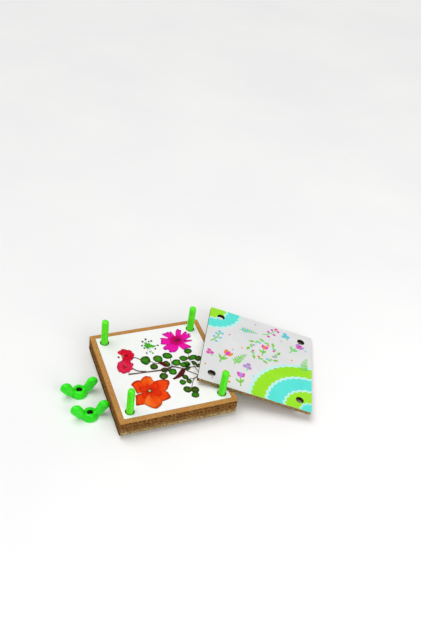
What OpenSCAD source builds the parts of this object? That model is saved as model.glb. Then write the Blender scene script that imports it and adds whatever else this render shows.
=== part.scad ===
// Flower press, opened: a stack of cards and blotting papers on four bolts, the lid leaning
// on the stack's right edge and the wing nuts off. Z is up and the table is at Z = 0. The
// origin is on the table under the middle of the stack, with the front towards -Y.

/* [Boards] */
// Side of the square boards and cards
board_side = 100; // [80:1:160]
// Thickness of the base board and the lid board
board_t = 3.2; // [2:0.1:6]
// Rounding of the boards' corners
board_corner = 1.2; // [0.4:0.1:3]
// Distance of a bolt hole from the board's edges
hole_inset = 10.8; // [9:0.1:16]
// Gap all round between a bolt and its hole
hole_gap = 0.6; // [0.2:0.05:1]

/* [Sheets] */
// Thickness of one corrugated card
card_t = 3.2; // [1.5:0.1:5]
// Thickness of one blotting paper
blotter_t = 0.4; // [0.2:0.05:0.8]
// Width of the card that shows around a blotting paper
blotter_border = 4.5; // [2:0.1:6]
// Thickness of the printed paper on the lid
print_t = 0.2; // [0.1:0.05:0.5]

/* [Bolts] */
// Diameter of a bolt's thread
bolt_d = 6; // [4:0.1:7]
// Length of a bolt under its head
bolt_length = 40; // [30:1:60]
// Width of the hexagon head across its flats
head_flats = 10; // [8:0.1:13]
// Height of the hexagon head
head_h = 4; // [2:0.1:6]
// Rounding of a bolt's free end
bolt_end_round = 2; // [0.5:0.1:2]

/* [Wing nuts] */
// Diameter of a wing nut's collar at its foot
collar_d = 14; // [11:0.1:16]
// Diameter of the collar at its top
collar_top_d = 9.6; // [9:0.1:11]
// Height of the collar
collar_h = 6.2; // [4:0.1:8]
// Diameter of the hole between the nut's threads
nut_bore_d = 5.1; // [4:0.1:5.6]
// Diameter of the hole's mouth
nut_mouth_d = 6.4; // [5.8:0.1:7]
// Distance from tip to tip of the wings
wing_span = 31.5; // [28:0.5:36]
// Height of the wings' tips above the table
wing_h = 15.4; // [12:0.1:15.6]
// Width of a wing near its tip
wing_w = 9.5; // [7:0.1:10]
// Thickness of a wing
wing_t = 4; // [2.5:0.1:4.6]

/* [Lid] */
// Angle that the lid is turned by, seen from above
lid_turn = 28.5; // [20:0.5:35]
// Reach of the lid's raised corner over the stack
lid_overlap = 28.5; // [20:0.5:31]
// Gap between the lid's front edge and the front right bolt
lid_bolt_gap = 0.8; // [0.5:0.1:3]
// Gap between the lid and the card edge that it leans on
lid_gap = 0.15; // [0.05:0.05:0.4]

/* [Loose wing nuts] */
// Gap between the front wing nut's tip and the stack
nut_front_gap = 0.6; // [0.5:0.1:6]
// Gap between the back wing nut's tip and the stack
nut_back_gap = 3.5; // [0.5:0.1:12]
// Place of the front wing nut along the stack's left edge
nut_front_along = -21.5; // [-34:0.5:-21]
// Place of the back wing nut along the stack's left edge
nut_back_along = 4; // [0:0.5:20]
// Angle that the back wing nut is turned by, seen from above
nut_back_turn = 5; // [-10:1:20]
// Gap between the spare wing nuts and the stack
spare_gap = 0.8; // [0.4:0.1:1]
// Gap between the two spare wing nuts
spare_apart = 2; // [1:0.5:4]
// Middle of the two spare wing nuts along the stack's right edge
spare_along = 5; // [2:0.5:8]

/* [Pressed flowers] */
// Thickness of a pressed petal or leaf
petal_t = 0.4; // [0.2:0.05:0.6]
// Height of a pressed flower's middle
flower_middle_h = 0.9; // [0.6:0.05:1.2]
// Diameter of the pink cosmos
cosmos_d = 27; // [20:1:30]
// Number of the cosmos's petals
cosmos_petals = 9; // [8:1:13]
// Diameter of one red flower
red_d = 14; // [10:0.5:15]
// Diameter of the orange flower
orange_d = 33; // [24:1:34]
// Number of the orange flower's petals
orange_petals = 6; // [5:1:7]
// Diameter of the small green umbel
umbel_d = 16; // [12:1:17]
// Gap between the cosmos and the umbel
flower_gap = 3.5; // [1:0.5:5]
// Length of a typical leaf of the sprig
leaf_l = 7.4; // [5:0.1:8]
// Width of the sprig's main stem
stem_w = 0.9; // [0.6:0.1:1.2]

/* [Hidden] */
$fn = 64;

// Overrun of every cut
cut = 1;

// Colours
board_colour = [0.66, 0.55, 0.40];
card_colour = [0.74, 0.53, 0.28];
paper_colour = [0.96, 0.96, 0.94];
plastic_colour = [0.30, 0.86, 0.20];
magenta_colour = [0.90, 0.08, 0.55];
red_colour = [0.85, 0.08, 0.18];
orange_colour = [0.96, 0.36, 0.06];
leaf_colour = [0.16, 0.42, 0.12];

// Heights of the stack, from the table up
base_z = head_h;
pitch = blotter_t + card_t;
function blotter_z(k) = base_z + board_t + (k - 1) * pitch;
function card_z(k) = blotter_z(k) + blotter_t;
cards = 3;
stack_top = card_z(cards) + card_t;
paper_z = blotter_z(cards + 1);
flower_z = paper_z + blotter_t;
bolt_top = head_h + bolt_length;

// Holes and sheets
half = board_side / 2;
hole_at = half - hole_inset;
hole_r = bolt_d / 2 + hole_gap;
blotter_side = board_side - 2 * blotter_border;

// A flat square with rounded corners, its middle at the origin
module square_plate(side, corner, t) {
    at = side / 2 - corner;
    linear_extrude(t) {
        square([side - 2 * corner, side], center = true);
        square([side, side - 2 * corner], center = true);
        for (x = [-at, at], y = [-at, at])
            translate([x, y]) circle(r = corner);
    }
}

// The four bolt holes through a plate of thickness t
module bolt_holes(t) {
    for (x = [-hole_at, hole_at], y = [-hole_at, hole_at])
        translate([x, y, -cut]) cylinder(r = hole_r, h = t + 2 * cut);
}

module drilled_plate(side, corner, t) {
    difference() {
        square_plate(side, corner, t);
        bolt_holes(t);
    }
}

// Stack

module base_board() {
    color(board_colour) translate([0, 0, base_z]) drilled_plate(board_side, board_corner, board_t);
}

module card(k) {
    color(card_colour) translate([0, 0, card_z(k)]) drilled_plate(board_side, board_corner, card_t);
}

module blotter(k) {
    color(paper_colour) translate([0, 0, blotter_z(k)]) drilled_plate(blotter_side, blotter_t, blotter_t);
}

// Bolts, put in from below, so that the press stands on their heads

module bolt(x_side, y_side) {
    r = bolt_d / 2;
    flat_r = r - bolt_end_round;
    color(plastic_colour) translate([x_side * hole_at, y_side * hole_at, 0]) {
        cylinder(d = head_flats / cos(30), h = head_h, $fn = 6);
        rotate_extrude() {
            square([r, bolt_top - bolt_end_round]);
            square([flat_r, bolt_top]);
            intersection() {
                translate([flat_r, bolt_top - bolt_end_round]) circle(r = bolt_end_round);
                square([r, bolt_top]);
            }
        }
    }
}

// Wing nuts. The foot is on the table, the bore stands upright and the wings spread along X.

wing_r = wing_w / 2;
wing_edge = wing_t / 2;
// Middles of a wing's round tip and of its round root, which sinks into the collar. The shares
// are of the collar's foot radius, of its height and of the tip's radius.
wing_root_share = [1.09, 0.8, 0.87];
wing_tip = [wing_span / 2 - wing_r, wing_h - wing_r];
wing_root = [wing_root_share[0] * collar_d / 2, wing_root_share[1] * collar_h];
wing_root_r = wing_root_share[2] * wing_r;
wing_facets = 24;

// A flat round disc in the XZ plane with a full round edge
module puck(r) {
    rotate([90, 0, 0]) rotate_extrude($fn = wing_facets) {
        translate([0, -wing_edge]) square([r - wing_edge, wing_t]);
        intersection() {
            translate([r - wing_edge, 0]) circle(r = wing_edge, $fn = wing_facets);
            translate([0, -wing_t]) square([r + cut, 2 * wing_t]);
        }
    }
}

module wing() {
    hull() {
        translate([wing_root[0], 0, wing_root[1]]) puck(wing_root_r);
        translate([wing_tip[0], 0, wing_tip[1]]) puck(wing_r);
    }
}

// The collar: a stout cone with a rounded foot and a rounded rim
collar_foot_h = collar_h / 4;
rim_round = (collar_top_d - nut_mouth_d) / 2;
foot_round = collar_foot_h / 3;

module collar() {
    foot_r = collar_d / 2;
    top_r = collar_top_d / 2;
    rotate_extrude() {
        polygon([[0, 0], [foot_r - foot_round, 0], [foot_r, foot_round], [foot_r, collar_foot_h],
                 [top_r, collar_h - rim_round], [top_r - rim_round, collar_h], [0, collar_h]]);
        intersection() {
            translate([top_r - rim_round, collar_h - rim_round]) circle(r = rim_round);
            square([top_r, collar_h]);
        }
    }
}

mouth_depth = (nut_mouth_d - nut_bore_d) / 2;

// The widened mouth of the hole, opening downwards at Z = 0
module bore_mouth() {
    rotate_extrude()
        polygon([[0, -cut], [nut_mouth_d / 2, -cut], [nut_mouth_d / 2, 0], [nut_bore_d / 2, mouth_depth],
                 [0, mouth_depth]]);
}

module nut_bore() {
    translate([0, 0, -cut]) cylinder(d = nut_bore_d, h = collar_h + 2 * cut);
    bore_mouth();
    translate([0, 0, collar_h]) rotate([180, 0, 0]) bore_mouth();
}

module wing_nut_shape() {
    difference() {
        union() {
            collar();
            wing();
            mirror([1, 0, 0]) wing();
        }
        nut_bore();
        // The wings' roots stay above the table and out of the way of a bolt
        translate([0, 0, -collar_h]) cylinder(r = wing_span, h = collar_h);
        translate([0, 0, collar_h - mouth_depth]) cylinder(d = nut_mouth_d, h = wing_h);
    }
}

module wing_nut(x, y, turn) {
    color(plastic_colour) translate([x, y, 0]) rotate([0, 0, turn]) wing_nut_shape();
}

nut_reach = wing_span / 2;
spare_x = half + spare_gap + collar_d / 2;
spare_step = (wing_span + spare_apart) / 2;

// Lid. Its underside leans on the stack's right top edge, and its lowest corner is on the table.

lid_edge_z = stack_top + lid_gap;
// Half of the lid's extent down its slope
lid_half = half * (cos(lid_turn) + sin(lid_turn)) - board_corner * (cos(lid_turn) + sin(lid_turn) - 1);
lid_run = 2 * lid_half - lid_overlap;
lid_lean = asin(lid_edge_z / lid_run);
// The lid's front edge as seen from above: its direction, the X of its middle and the Y that
// the named gap to the front right bolt gives it
lid_edge_way = [cos(lid_turn) * cos(lid_lean), -sin(lid_turn)];
lid_edge_x = half + (lid_run - lid_half - half * sin(lid_turn)) * cos(lid_lean);
lid_edge_y = ((bolt_d / 2 + lid_bolt_gap) * norm(lid_edge_way) - lid_edge_way[1] * (hole_at - lid_edge_x))
    / lid_edge_way[0] - hole_at;
lid_along = lid_edge_y + half * cos(lid_turn);

// Puts a child, drawn flat with the lid's underside at Z = 0, where the lid lies
module on_lid() {
    translate([half, lid_along, lid_edge_z]) rotate([0, lid_lean, 0])
        translate([lid_run - lid_half, 0, 0]) rotate([0, 0, -lid_turn]) children();
}

module lid_board() {
    color(board_colour) on_lid() drilled_plate(board_side, board_corner, board_t);
}

module lid_print() {
    color(paper_colour) on_lid() translate([0, 0, board_t]) drilled_plate(board_side, board_corner, print_t);
}

// Pressed flowers. Places are shares of half the blotting paper's side, from its middle.

paper_half = blotter_side / 2;

module on_paper(place_share) {
    translate([place_share[0] * paper_half, place_share[1] * paper_half, flower_z]) children();
}

// Outline of a petal along +X from the middle, with a broad end that has a shallow notch
function petal_points(length, width, notch) =
    [for (k = [0:12])
        let (t = k / 12, a = -90 + 180 * t, dip = notch * pow(cos(2 * a), 2) * (abs(a) < 45 ? 1 : 0))
        [length - width / 2 + (width / 2 - dip) * cos(a), width / 2 * sin(a)]];

module petal(length, width, notch, foot) {
    linear_extrude(petal_t)
        polygon(concat([[0, foot / 2], [0, -foot / 2]], petal_points(length, width, notch)));
}

cosmos_share = [0.47, 0.61];
cosmos_petal_share = 0.27;

module pressed_cosmos() {
    r = cosmos_d / 2;
    middle_r = r * 0.2;
    color(magenta_colour) on_paper(cosmos_share) {
        for (k = [0:cosmos_petals - 1])
            rotate([0, 0, 360 * (k + 0.15 * sin(140 * k)) / cosmos_petals])
                petal(r, cosmos_d * cosmos_petal_share, petal_t, middle_r);
        cylinder(r = middle_r, h = flower_middle_h);
    }
}

// Middles of the two red flowers
red_share = [[-0.61, 0.465], [-0.685, 0.16]];
red_lobes = 7;

module pressed_red_flowers() {
    r = red_d / 2;
    lobe_r = r * 0.42;
    color(red_colour)
        for (place = red_share)
            on_paper(place) {
                linear_extrude(petal_t) {
                    circle(r = r - lobe_r);
                    for (k = [0:red_lobes - 1])
                        rotate(360 * k / red_lobes) translate([r - lobe_r, 0]) circle(r = lobe_r, $fn = 24);
                }
                cylinder(r = lobe_r / 2, h = flower_middle_h);
            }
}

orange_share = [-0.39, -0.50];

module pressed_orange_flower() {
    r = orange_d / 2;
    middle_r = r * 0.14;
    color(orange_colour) on_paper(orange_share) {
        for (k = [0:orange_petals - 1])
            rotate([0, 0, 360 * k / orange_petals + 12])
                petal(r, orange_d * 0.42, petal_t, middle_r * 2);
        cylinder(r = middle_r, h = flower_middle_h);
    }
}

// The umbel lies beside the cosmos
umbel_share = [cosmos_share[0] - ((cosmos_d + umbel_d) / 2 + flower_gap) / paper_half, 0.58];
umbel_rays = 10;

module pressed_umbel() {
    r = umbel_d / 2;
    dot_r = r * 0.13;
    ray_w = r * 0.07;
    color(leaf_colour) on_paper(umbel_share)
        linear_extrude(petal_t) {
            circle(r = r * 0.32);
            for (k = [0:umbel_rays - 1])
                rotate(360 * k / umbel_rays) {
                    reach = (r - dot_r) * (0.84 + 0.16 * cos(130 * k));
                    translate([0, -ray_w / 2]) square([reach, ray_w]);
                    translate([reach, 0]) circle(r = dot_r, $fn = 16);
                }
        }
}

// The leaves of the sprig: place, heading in degrees and size, which is a share of leaf_l
leaf_share = [
    [-0.25, 0.24, 100, 1.05], [-0.02, 0.22, 130, 1.05], [0.20, 0.25, 150, 1.05], [-0.14, 0.06, 30, 0.95],
    [0.11, 0.06, 160, 0.95], [0.30, 0.05, 25, 0.95], [0.47, 0.12, 175, 0.90], [0.65, 0.12, 25, 0.90],
    [0.74, 0.01, 115, 0.85], [0.61, 0.25, 165, 0.85], [0.44, -0.04, 10, 1.00], [0.03, -0.08, 170, 0.85],
    [0.16, -0.18, 115, 0.95], [-0.04, -0.245, 100, 0.90], [0.61, -0.06, 140, 0.65], [0.69, -0.14, 90, 0.55],
    [0.35, -0.34, 140, 0.75], [0.26, -0.44, 30, 0.70], [0.38, -0.46, 100, 0.65], [0.28, -0.63, 40, 0.90],
    [0.43, -0.67, 130, 0.90], [0.39, -0.79, 45, 0.90]];
// The stems, each a run of places
stem_share = [
    [[-0.68, -0.03], [-0.30, -0.05], [-0.05, -0.06], [0.19, -0.04], [0.60, -0.13]],
    [[-0.50, 0.06], [-0.30, -0.05]],
    [[0.41, -0.19], [0.58, -0.33], [0.47, -0.43], [0.40, -0.63]],
    [[-0.13, 0.15], [0.00, 0.10], [0.12, -0.01]],
    [[0.20, 0.19], [0.24, 0.06], [0.19, -0.04]],
    [[0.58, 0.22], [0.56, 0.12], [0.50, 0.00]]];
// The two dark pods, as runs of places
pod_share = [[[0.00, 0.10], [0.12, -0.01]], [[0.39, -0.15], [0.29, -0.22], [0.12, -0.33]]];
pod_w = stem_w * 2;
// Radius of the knob where two bars of a stem meet, as a share of the stem's width
joint_share = 0.55;

// Outline of a rounded leaf along X with its middle at the origin
function leaf_points(length, width) =
    [for (k = [0:15]) let (a = 360 * k / 16) [length / 2 * cos(a), width / 2 * sin(a) * (1 - 0.12 * cos(a))]];

// A run of bars between places, with a knob at each place
module stem_run(places_share, w) {
    for (k = [0:len(places_share) - 2]) {
        a = places_share[k] * paper_half;
        b = places_share[k + 1] * paper_half;
        way = b - a;
        translate(a) rotate(atan2(way[1], way[0])) translate([0, -w / 2]) square([norm(way), w]);
        translate(a) circle(r = w * joint_share, $fn = 12);
        translate(b) circle(r = w * joint_share, $fn = 12);
    }
}

module pressed_leaf_sprig() {
    color(leaf_colour) on_paper([0, 0])
        linear_extrude(petal_t) {
            for (leaf = leaf_share)
                translate([leaf[0] * paper_half, leaf[1] * paper_half]) rotate(leaf[2])
                    polygon(leaf_points(leaf_l * leaf[3], leaf_l * leaf[3] * 0.78));
            for (run = stem_share)
                stem_run(run, stem_w);
            for (run = pod_share)
                stem_run(run, pod_w);
        }
}

base_board();
card(1);  // card_1
card(2);  // card_2
card(3);  // card_3
blotter(1);  // blotter_1
blotter(2);  // blotter_2
blotter(3);  // blotter_3
blotter(cards + 1);  // blotter_top
bolt(-1, -1);  // bolt_front_left
bolt(-1, 1);  // bolt_back_left
bolt(1, 1);  // bolt_back_right
bolt(1, -1);  // bolt_front_right
wing_nut(-half - nut_front_gap - nut_reach, nut_front_along, 0);  // wing_nut_left_front
wing_nut(-half - nut_back_gap - nut_reach, nut_back_along, nut_back_turn);  // wing_nut_left_back
wing_nut(spare_x, spare_along - spare_step, 90);  // wing_nut_spare_front
wing_nut(spare_x, spare_along + spare_step, 90);  // wing_nut_spare_back
lid_board();
lid_print();
pressed_cosmos();
pressed_red_flowers();
pressed_umbel();
pressed_orange_flower();
pressed_leaf_sprig();
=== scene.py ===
"""The looks of the opened flower press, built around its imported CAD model."""

import math

import bmesh
import bpy
import numpy as np
from mathutils import Matrix, Vector
from mathutils.geometry import delaunay_2d_cdt


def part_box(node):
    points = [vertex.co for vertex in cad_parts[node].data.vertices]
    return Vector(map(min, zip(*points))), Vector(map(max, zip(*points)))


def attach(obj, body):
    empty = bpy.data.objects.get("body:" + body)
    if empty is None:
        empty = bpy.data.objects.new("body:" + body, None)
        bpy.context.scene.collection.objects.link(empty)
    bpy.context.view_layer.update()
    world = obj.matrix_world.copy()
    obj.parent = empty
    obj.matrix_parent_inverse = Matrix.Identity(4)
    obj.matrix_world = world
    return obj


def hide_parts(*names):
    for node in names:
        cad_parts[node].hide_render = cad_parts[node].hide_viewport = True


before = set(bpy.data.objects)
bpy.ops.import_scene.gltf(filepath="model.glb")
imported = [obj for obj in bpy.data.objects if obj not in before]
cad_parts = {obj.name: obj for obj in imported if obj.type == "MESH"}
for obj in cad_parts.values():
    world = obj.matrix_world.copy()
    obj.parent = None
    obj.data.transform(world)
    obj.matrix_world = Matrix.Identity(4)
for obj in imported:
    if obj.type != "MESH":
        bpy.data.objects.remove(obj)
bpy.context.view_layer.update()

# Every length is in millimetres until a piece is made
MM = 0.001
SEED = 11
rng = np.random.default_rng(SEED)

# Sizes from the part's source
BOARD, CORNER, INSET, HOLE_GAP = 100.0, 1.2, 10.8, 0.6
BOARD_T, CARD_T, BLOTTER_T, BORDER, PRINT_T = 3.2, 3.2, 0.4, 4.5, 0.2
BOLT_D, BOLT_LENGTH, HEAD_FLATS, HEAD_H, END_ROUND = 6.0, 40.0, 10.0, 4.0, 2.0
LID_TURN, LID_OVERLAP, LID_GAP, LID_BOLT_GAP = 28.5, 28.5, 0.15, 0.8
NUT_SPAN, COLLAR_D, COLLAR_TOP_D, COLLAR_H = 31.5, 14.0, 9.6, 6.2
NUT_BORE_D, NUT_MOUTH_D, WING_H, WING_W, WING_T = 5.1, 6.4, 15.4, 9.5, 4.0
NUT_BACK_TURN = 5.0

HALF = BOARD / 2
HOLE_AT = HALF - INSET
HOLE_R = BOLT_D / 2 + HOLE_GAP
BLOTTER = BOARD - 2 * BORDER
BASE_Z = HEAD_H
BLOTTER_Z = [BASE_Z + BOARD_T + k * (BLOTTER_T + CARD_T) for k in range(4)]
CARD_Z = [z + BLOTTER_T for z in BLOTTER_Z[:3]]
STACK_TOP = CARD_Z[2] + CARD_T
FLOWER_Z = BLOTTER_Z[3] + BLOTTER_T
BOLT_TOP = HEAD_H + BOLT_LENGTH

# Double-wall card: three liners and two fluted layers
LINER = 0.28
MEDIUM = 0.24
FLUTE_PITCH = 3.0
LAYER = (CARD_T - 3 * LINER) / 2

# The thread, and one turn of its profile: share of the pitch and share of the depth
THREAD = 1.5
THREAD_DEPTH = 0.6
THREAD_FORM = ((0.0, 0.0), (0.10, 0.0), (0.26, 0.45), (0.42, 1.0), (0.64, 1.0), (0.82, 0.5))

# Angles in radians from 0 to almost a full turn are drawn up to this
FULL_TURN = 6.28
# The turn in radians from one seed in a flower's middle to the next
SEED_TURN = 2.39996


def lid_matrix():
    """Where the lid lies: turned, moved out down its slope, tilted, and set on the stack's edge."""
    turn = math.radians(LID_TURN)
    c, s = math.cos(turn), math.sin(turn)
    lid_half = HALF * (c + s) - CORNER * (c + s - 1)
    run = 2 * lid_half - LID_OVERLAP
    edge_z = STACK_TOP + LID_GAP
    lean = math.asin(edge_z / run)
    way = (c * math.cos(lean), -s)
    edge_x = HALF + (run - lid_half - HALF * s) * math.cos(lean)
    reach = (BOLT_D / 2 + LID_BOLT_GAP) * math.hypot(*way)
    along = (reach - way[1] * (HOLE_AT - edge_x)) / way[0] - HOLE_AT + HALF * c
    return (
        Matrix.Translation((HALF, along, edge_z))
        @ Matrix.Rotation(lean, 4, "Y")
        @ Matrix.Translation((run - lid_half, 0, 0))
        @ Matrix.Rotation(-turn, 4, "Z")
    )


LID = lid_matrix()

# Materials. Each colour is given as sRGB, 0 to 255.

# The photograph shows the stack's left edges much darker than its front ones
# Painted shade: the colour that cut edges facing -X are darkened towards
LEFT_EDGE_SHADE = (62, 37, 11)
# What the petals' and leaves' looks read at each point
PETAL_VALUES = ("along", "across", "hue")
# The period of Blender's wave texture at a scale of 1
WAVE_PERIOD = 2 * math.pi / 20


def rgb(r, g, b):
    """An sRGB colour as Blender's linear one."""

    def one(c):
        c /= 255
        return c / 12.92 if c <= 0.04045 else ((c + 0.055) / 1.055) ** 2.4

    return (one(r), one(g), one(b), 1.0)


class Look:
    """A procedural material. Its positions are in millimetres on the piece."""

    def __init__(self, name, **fixed):
        self.material = bpy.data.materials.new(name)
        self.material.use_nodes = True
        self.tree = self.material.node_tree
        self.shader = self.tree.nodes["Principled BSDF"]
        for key, value in fixed.items():
            self.shader.inputs[key.replace("_", " ")].default_value = value
        place = self.add("TexCoord").outputs["Object"]
        self.place = self.add("VectorMath", {0: place, 3: 1 / MM}, operation="SCALE").outputs[0]

    def add(self, kind, inputs=None, **settings):
        node = self.tree.nodes.new("ShaderNode" + kind)
        for key, value in settings.items():
            setattr(node, key, value)
        for key, value in (inputs or {}).items():
            if isinstance(value, bpy.types.NodeSocket):
                self.tree.links.new(value, node.inputs[key])
            else:
                node.inputs[key].default_value = value
        return node

    def scaled(self, stretch):
        return self.add("Mapping", {"Vector": self.place, "Scale": stretch}).outputs[0]

    def noise(self, size, stretch=(1, 1, 1), detail=3.0, rough=0.55, twist=0.0):
        """Noise from 0 to 1 with features of that size in millimetres."""
        inputs = {"Vector": self.scaled(stretch), "Scale": 1 / size, "Detail": detail}
        return self.add("TexNoise", {**inputs, "Roughness": rough, "Distortion": twist}).outputs["Fac"]

    def read(self, name):
        return self.add("Attribute", attribute_name=name).outputs["Fac"]

    def work(self, operation, a, b=0.0):
        return self.add("Math", {0: a, 1: b}, operation=operation).outputs[0]

    def plus(self, a, b):
        return self.work("ADD", a, b)

    def times(self, a, b):
        return self.work("MULTIPLY", a, b)

    def tone(self, a, share, b):
        """Two values mixed, with that share of the first."""
        return self.plus(self.times(a, share), self.times(b, 1 - share))

    def range(self, value, low, high, at=(0.0, 1.0)):
        """Runs from low to high where the value runs from at[0] to at[1]."""
        return self.add("MapRange", {"Value": value, 1: at[0], 2: at[1], 3: low, 4: high}).outputs[0]

    def ramp(self, factor, *stops):
        node = self.add("ValToRGB", {"Fac": factor})
        made = node.color_ramp.elements
        while len(made) < len(stops):
            made.new(0.5)
        for element, (at, colour) in zip(made, stops):
            element.position = at
            element.color = colour if len(colour) == 4 else rgb(*colour)
        return node.outputs["Color"]

    def mix(self, share, colour, over):
        return self.add("Mix", {0: share, 6: colour, 7: rgb(*over)}, data_type="RGBA").outputs[2]

    def cover(self, colour, over, value, low, high, at=(0.0, 1.0)):
        """The colour under a share of another, which runs from low to high with the value."""
        return self.mix(self.range(value, low, high, at), colour, over)

    def shaded_left(self, colour):
        """The colour with painted shade, darker where the piece faces -X."""
        across = self.add("SeparateXYZ", {0: self.add("NewGeometry").outputs["True Normal"]}).outputs[0]
        return self.cover(colour, LEFT_EDGE_SHADE, across, 0.92, 0.0, (-0.70, -0.40))

    def paint(self, colour):
        self.tree.links.new(colour, self.shader.inputs["Base Color"])

    def gloss(self, roughness):
        self.tree.links.new(roughness, self.shader.inputs["Roughness"])

    def bump(self, height, depth, strength=1.0):
        """A bump whose full height is depth millimetres, over any bump already there."""
        socket = self.shader.inputs["Normal"]
        inputs = {"Height": height, "Distance": depth * MM, "Strength": strength}
        if socket.links:
            inputs["Normal"] = socket.links[0].from_socket
        self.tree.links.new(self.add("Bump", inputs).outputs[0], socket)


def kraft_look(name, light, dark, ribbed=False, torn=None):
    """Brown kraft paper. torn gives the colours of the dark and light tears in a cut edge."""
    look = Look(name, Specular_IOR_Level=0.0 if torn else 0.25)
    fibres = look.noise(0.5, (1.0, 0.22, 1.0), 5.0, 0.65)
    specks = look.noise(0.28, detail=2.0, rough=0.7)
    stains = look.noise(5.0, detail=4.0, rough=0.7)
    flecks = look.noise(1.3, detail=4.0, rough=0.75)
    tone = look.tone(fibres, 0.55, look.noise(9.0, detail=2.0))
    colour = look.ramp(tone, (0.30, dark), (0.72, light))
    colour = look.cover(colour, (118, 78, 36), specks, 0.0, 0.55, (0.60, 0.78))
    colour = look.cover(colour, (226, 184, 128), specks, 0.35, 0.0, (0.24, 0.36))
    colour = look.cover(colour, (200, 120, 44), stains, 0.0, 0.5, (0.50, 0.66))
    colour = look.cover(colour, (158, 108, 52), flecks, 0.0, 0.55, (0.50, 0.62))
    colour = look.cover(colour, (222, 172, 106), flecks, 0.55, 0.0, (0.36, 0.48))
    if torn:
        tears = look.noise(1.4, detail=4.0, rough=0.75)
        colour = look.cover(colour, torn[0], tears, 0.0, 0.85, (0.50, 0.60))
        colour = look.cover(colour, torn[1], tears, 0.85, 0.0, (0.38, 0.46))
        # Painted shade on the cut edges that face -X
        colour = look.shaded_left(colour)
    if ribbed:
        inputs = {"Vector": look.place, "Scale": WAVE_PERIOD / FLUTE_PITCH, "Distortion": 0.6, "Detail": 2.0}
        ridges = look.add("TexWave", inputs).outputs["Fac"]
        colour = look.cover(colour, dark, ridges, 0.0, 0.16)
        look.bump(ridges, 0.10, 0.6)
    look.paint(colour)
    look.gloss(look.range(fibres, 0.92, 0.72))
    look.bump(fibres, 0.06)
    look.bump(specks, 0.03)
    return look.material


def board_look(name, light, dark, layers=0.0):
    """Pressed wood fibre. Its cut edges show thin flat layers."""
    look = Look(name, Specular_IOR_Level=0.0 if layers else 0.3)
    grain = look.noise(0.9, (1, 1, 1), 6.0, 0.7)
    inputs = {"Vector": look.scaled((1, 1, 2.2)), "Scale": 1 / 0.8}
    chips = look.add("TexVoronoi", inputs).outputs["Distance"]
    colour = look.ramp(look.tone(grain, 0.6, look.noise(14.0, detail=2.0)), (0.30, dark), (0.70, light))
    colour = look.cover(colour, dark, chips, 0.5, 0.0, (0.05, 0.34))
    if layers:
        bands = look.noise(0.55, (0.12, 0.12, 1.6), 4.0, 0.6)
        colour = look.cover(colour, (92, 70, 40), bands, 0.0, layers, (0.42, 0.70))
        look.bump(bands, 0.12)
        chaff = look.noise(1.3, detail=4.0, rough=0.75)
        colour = look.cover(colour, (94, 68, 38), chaff, 0.0, 0.8, (0.52, 0.62))
        colour = look.cover(colour, (234, 212, 166), chaff, 0.8, 0.0, (0.36, 0.44))
        # Painted shade on the cut edges that face -X
        colour = look.shaded_left(colour)
    look.paint(colour)
    look.gloss(look.range(grain, 0.95, 0.70))
    look.bump(grain, 0.10)
    look.bump(chips, 0.06)
    return look.material


def paper_look(name, light, dark):
    look = Look(name, Specular_IOR_Level=0.2)
    fibre = look.noise(0.35, (1.0, 0.5, 1.0), 5.0, 0.7, 0.4)
    tone = look.tone(fibre, 0.5, look.noise(12.0, detail=3.0))
    look.paint(look.ramp(tone, (0.30, dark), (0.68, light)))
    look.gloss(look.range(fibre, 0.96, 0.78))
    look.bump(fibre, 0.05)
    return look.material


def ink_look(name, colour, strength=0.14):
    """Ink on smooth paper: a little mottled, with the paper's tooth and a slight sheen."""
    look = Look(name, Specular_IOR_Level=0.45)
    mottle = look.noise(1.4, detail=4.0, rough=0.7)
    middle = rgb(*colour)
    pale = (*[c + (1 - c) * strength for c in middle[:3]], 1.0)
    deep = (*[c * (1 - strength) for c in middle[:3]], 1.0)
    tone = look.tone(mottle, 0.6, look.noise(20.0, detail=2.0))
    look.paint(look.ramp(tone, (0.30, deep), (0.55, middle), (0.75, pale)))
    look.gloss(look.range(mottle, 0.42, 0.56))
    look.bump(look.noise(0.25, detail=3.0), 0.012)
    return look.material


def plastic_look(name, dark, middle, light, coat, groove=None):
    """Bright moulded plastic, glossy and slightly see-through. 'deep' is how far a point lies down
    in a thread, from 0 to 1. The groove colour is painted shade, darkest in the thread's roots."""
    look = Look(
        name,
        Subsurface_Weight=0.45,
        Subsurface_Radius=(0.5, 1.0, 0.25),
        Subsurface_Scale=1.6 * MM,
        Specular_IOR_Level=0.35,
        Coat_Weight=coat,
        Coat_Roughness=0.12,
    )
    flow = look.noise(7.0, (1, 1, 0.5), 3.0, 0.5, 0.8)
    fine = look.noise(0.5, detail=4.0)
    colour = look.ramp(flow, (0.30, dark), (0.55, middle), (0.75, light))
    if groove:
        # Painted shade down in the thread's grooves
        colour = look.cover(colour, groove, look.read("deep"), 0.0, 0.50)
    look.paint(colour)
    look.gloss(look.plus(look.range(flow, 0.20, 0.32), look.range(fine, 0.0, 0.08)))
    look.bump(flow, 0.10, 0.5)
    look.bump(fine, 0.010)
    return look.material


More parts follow.
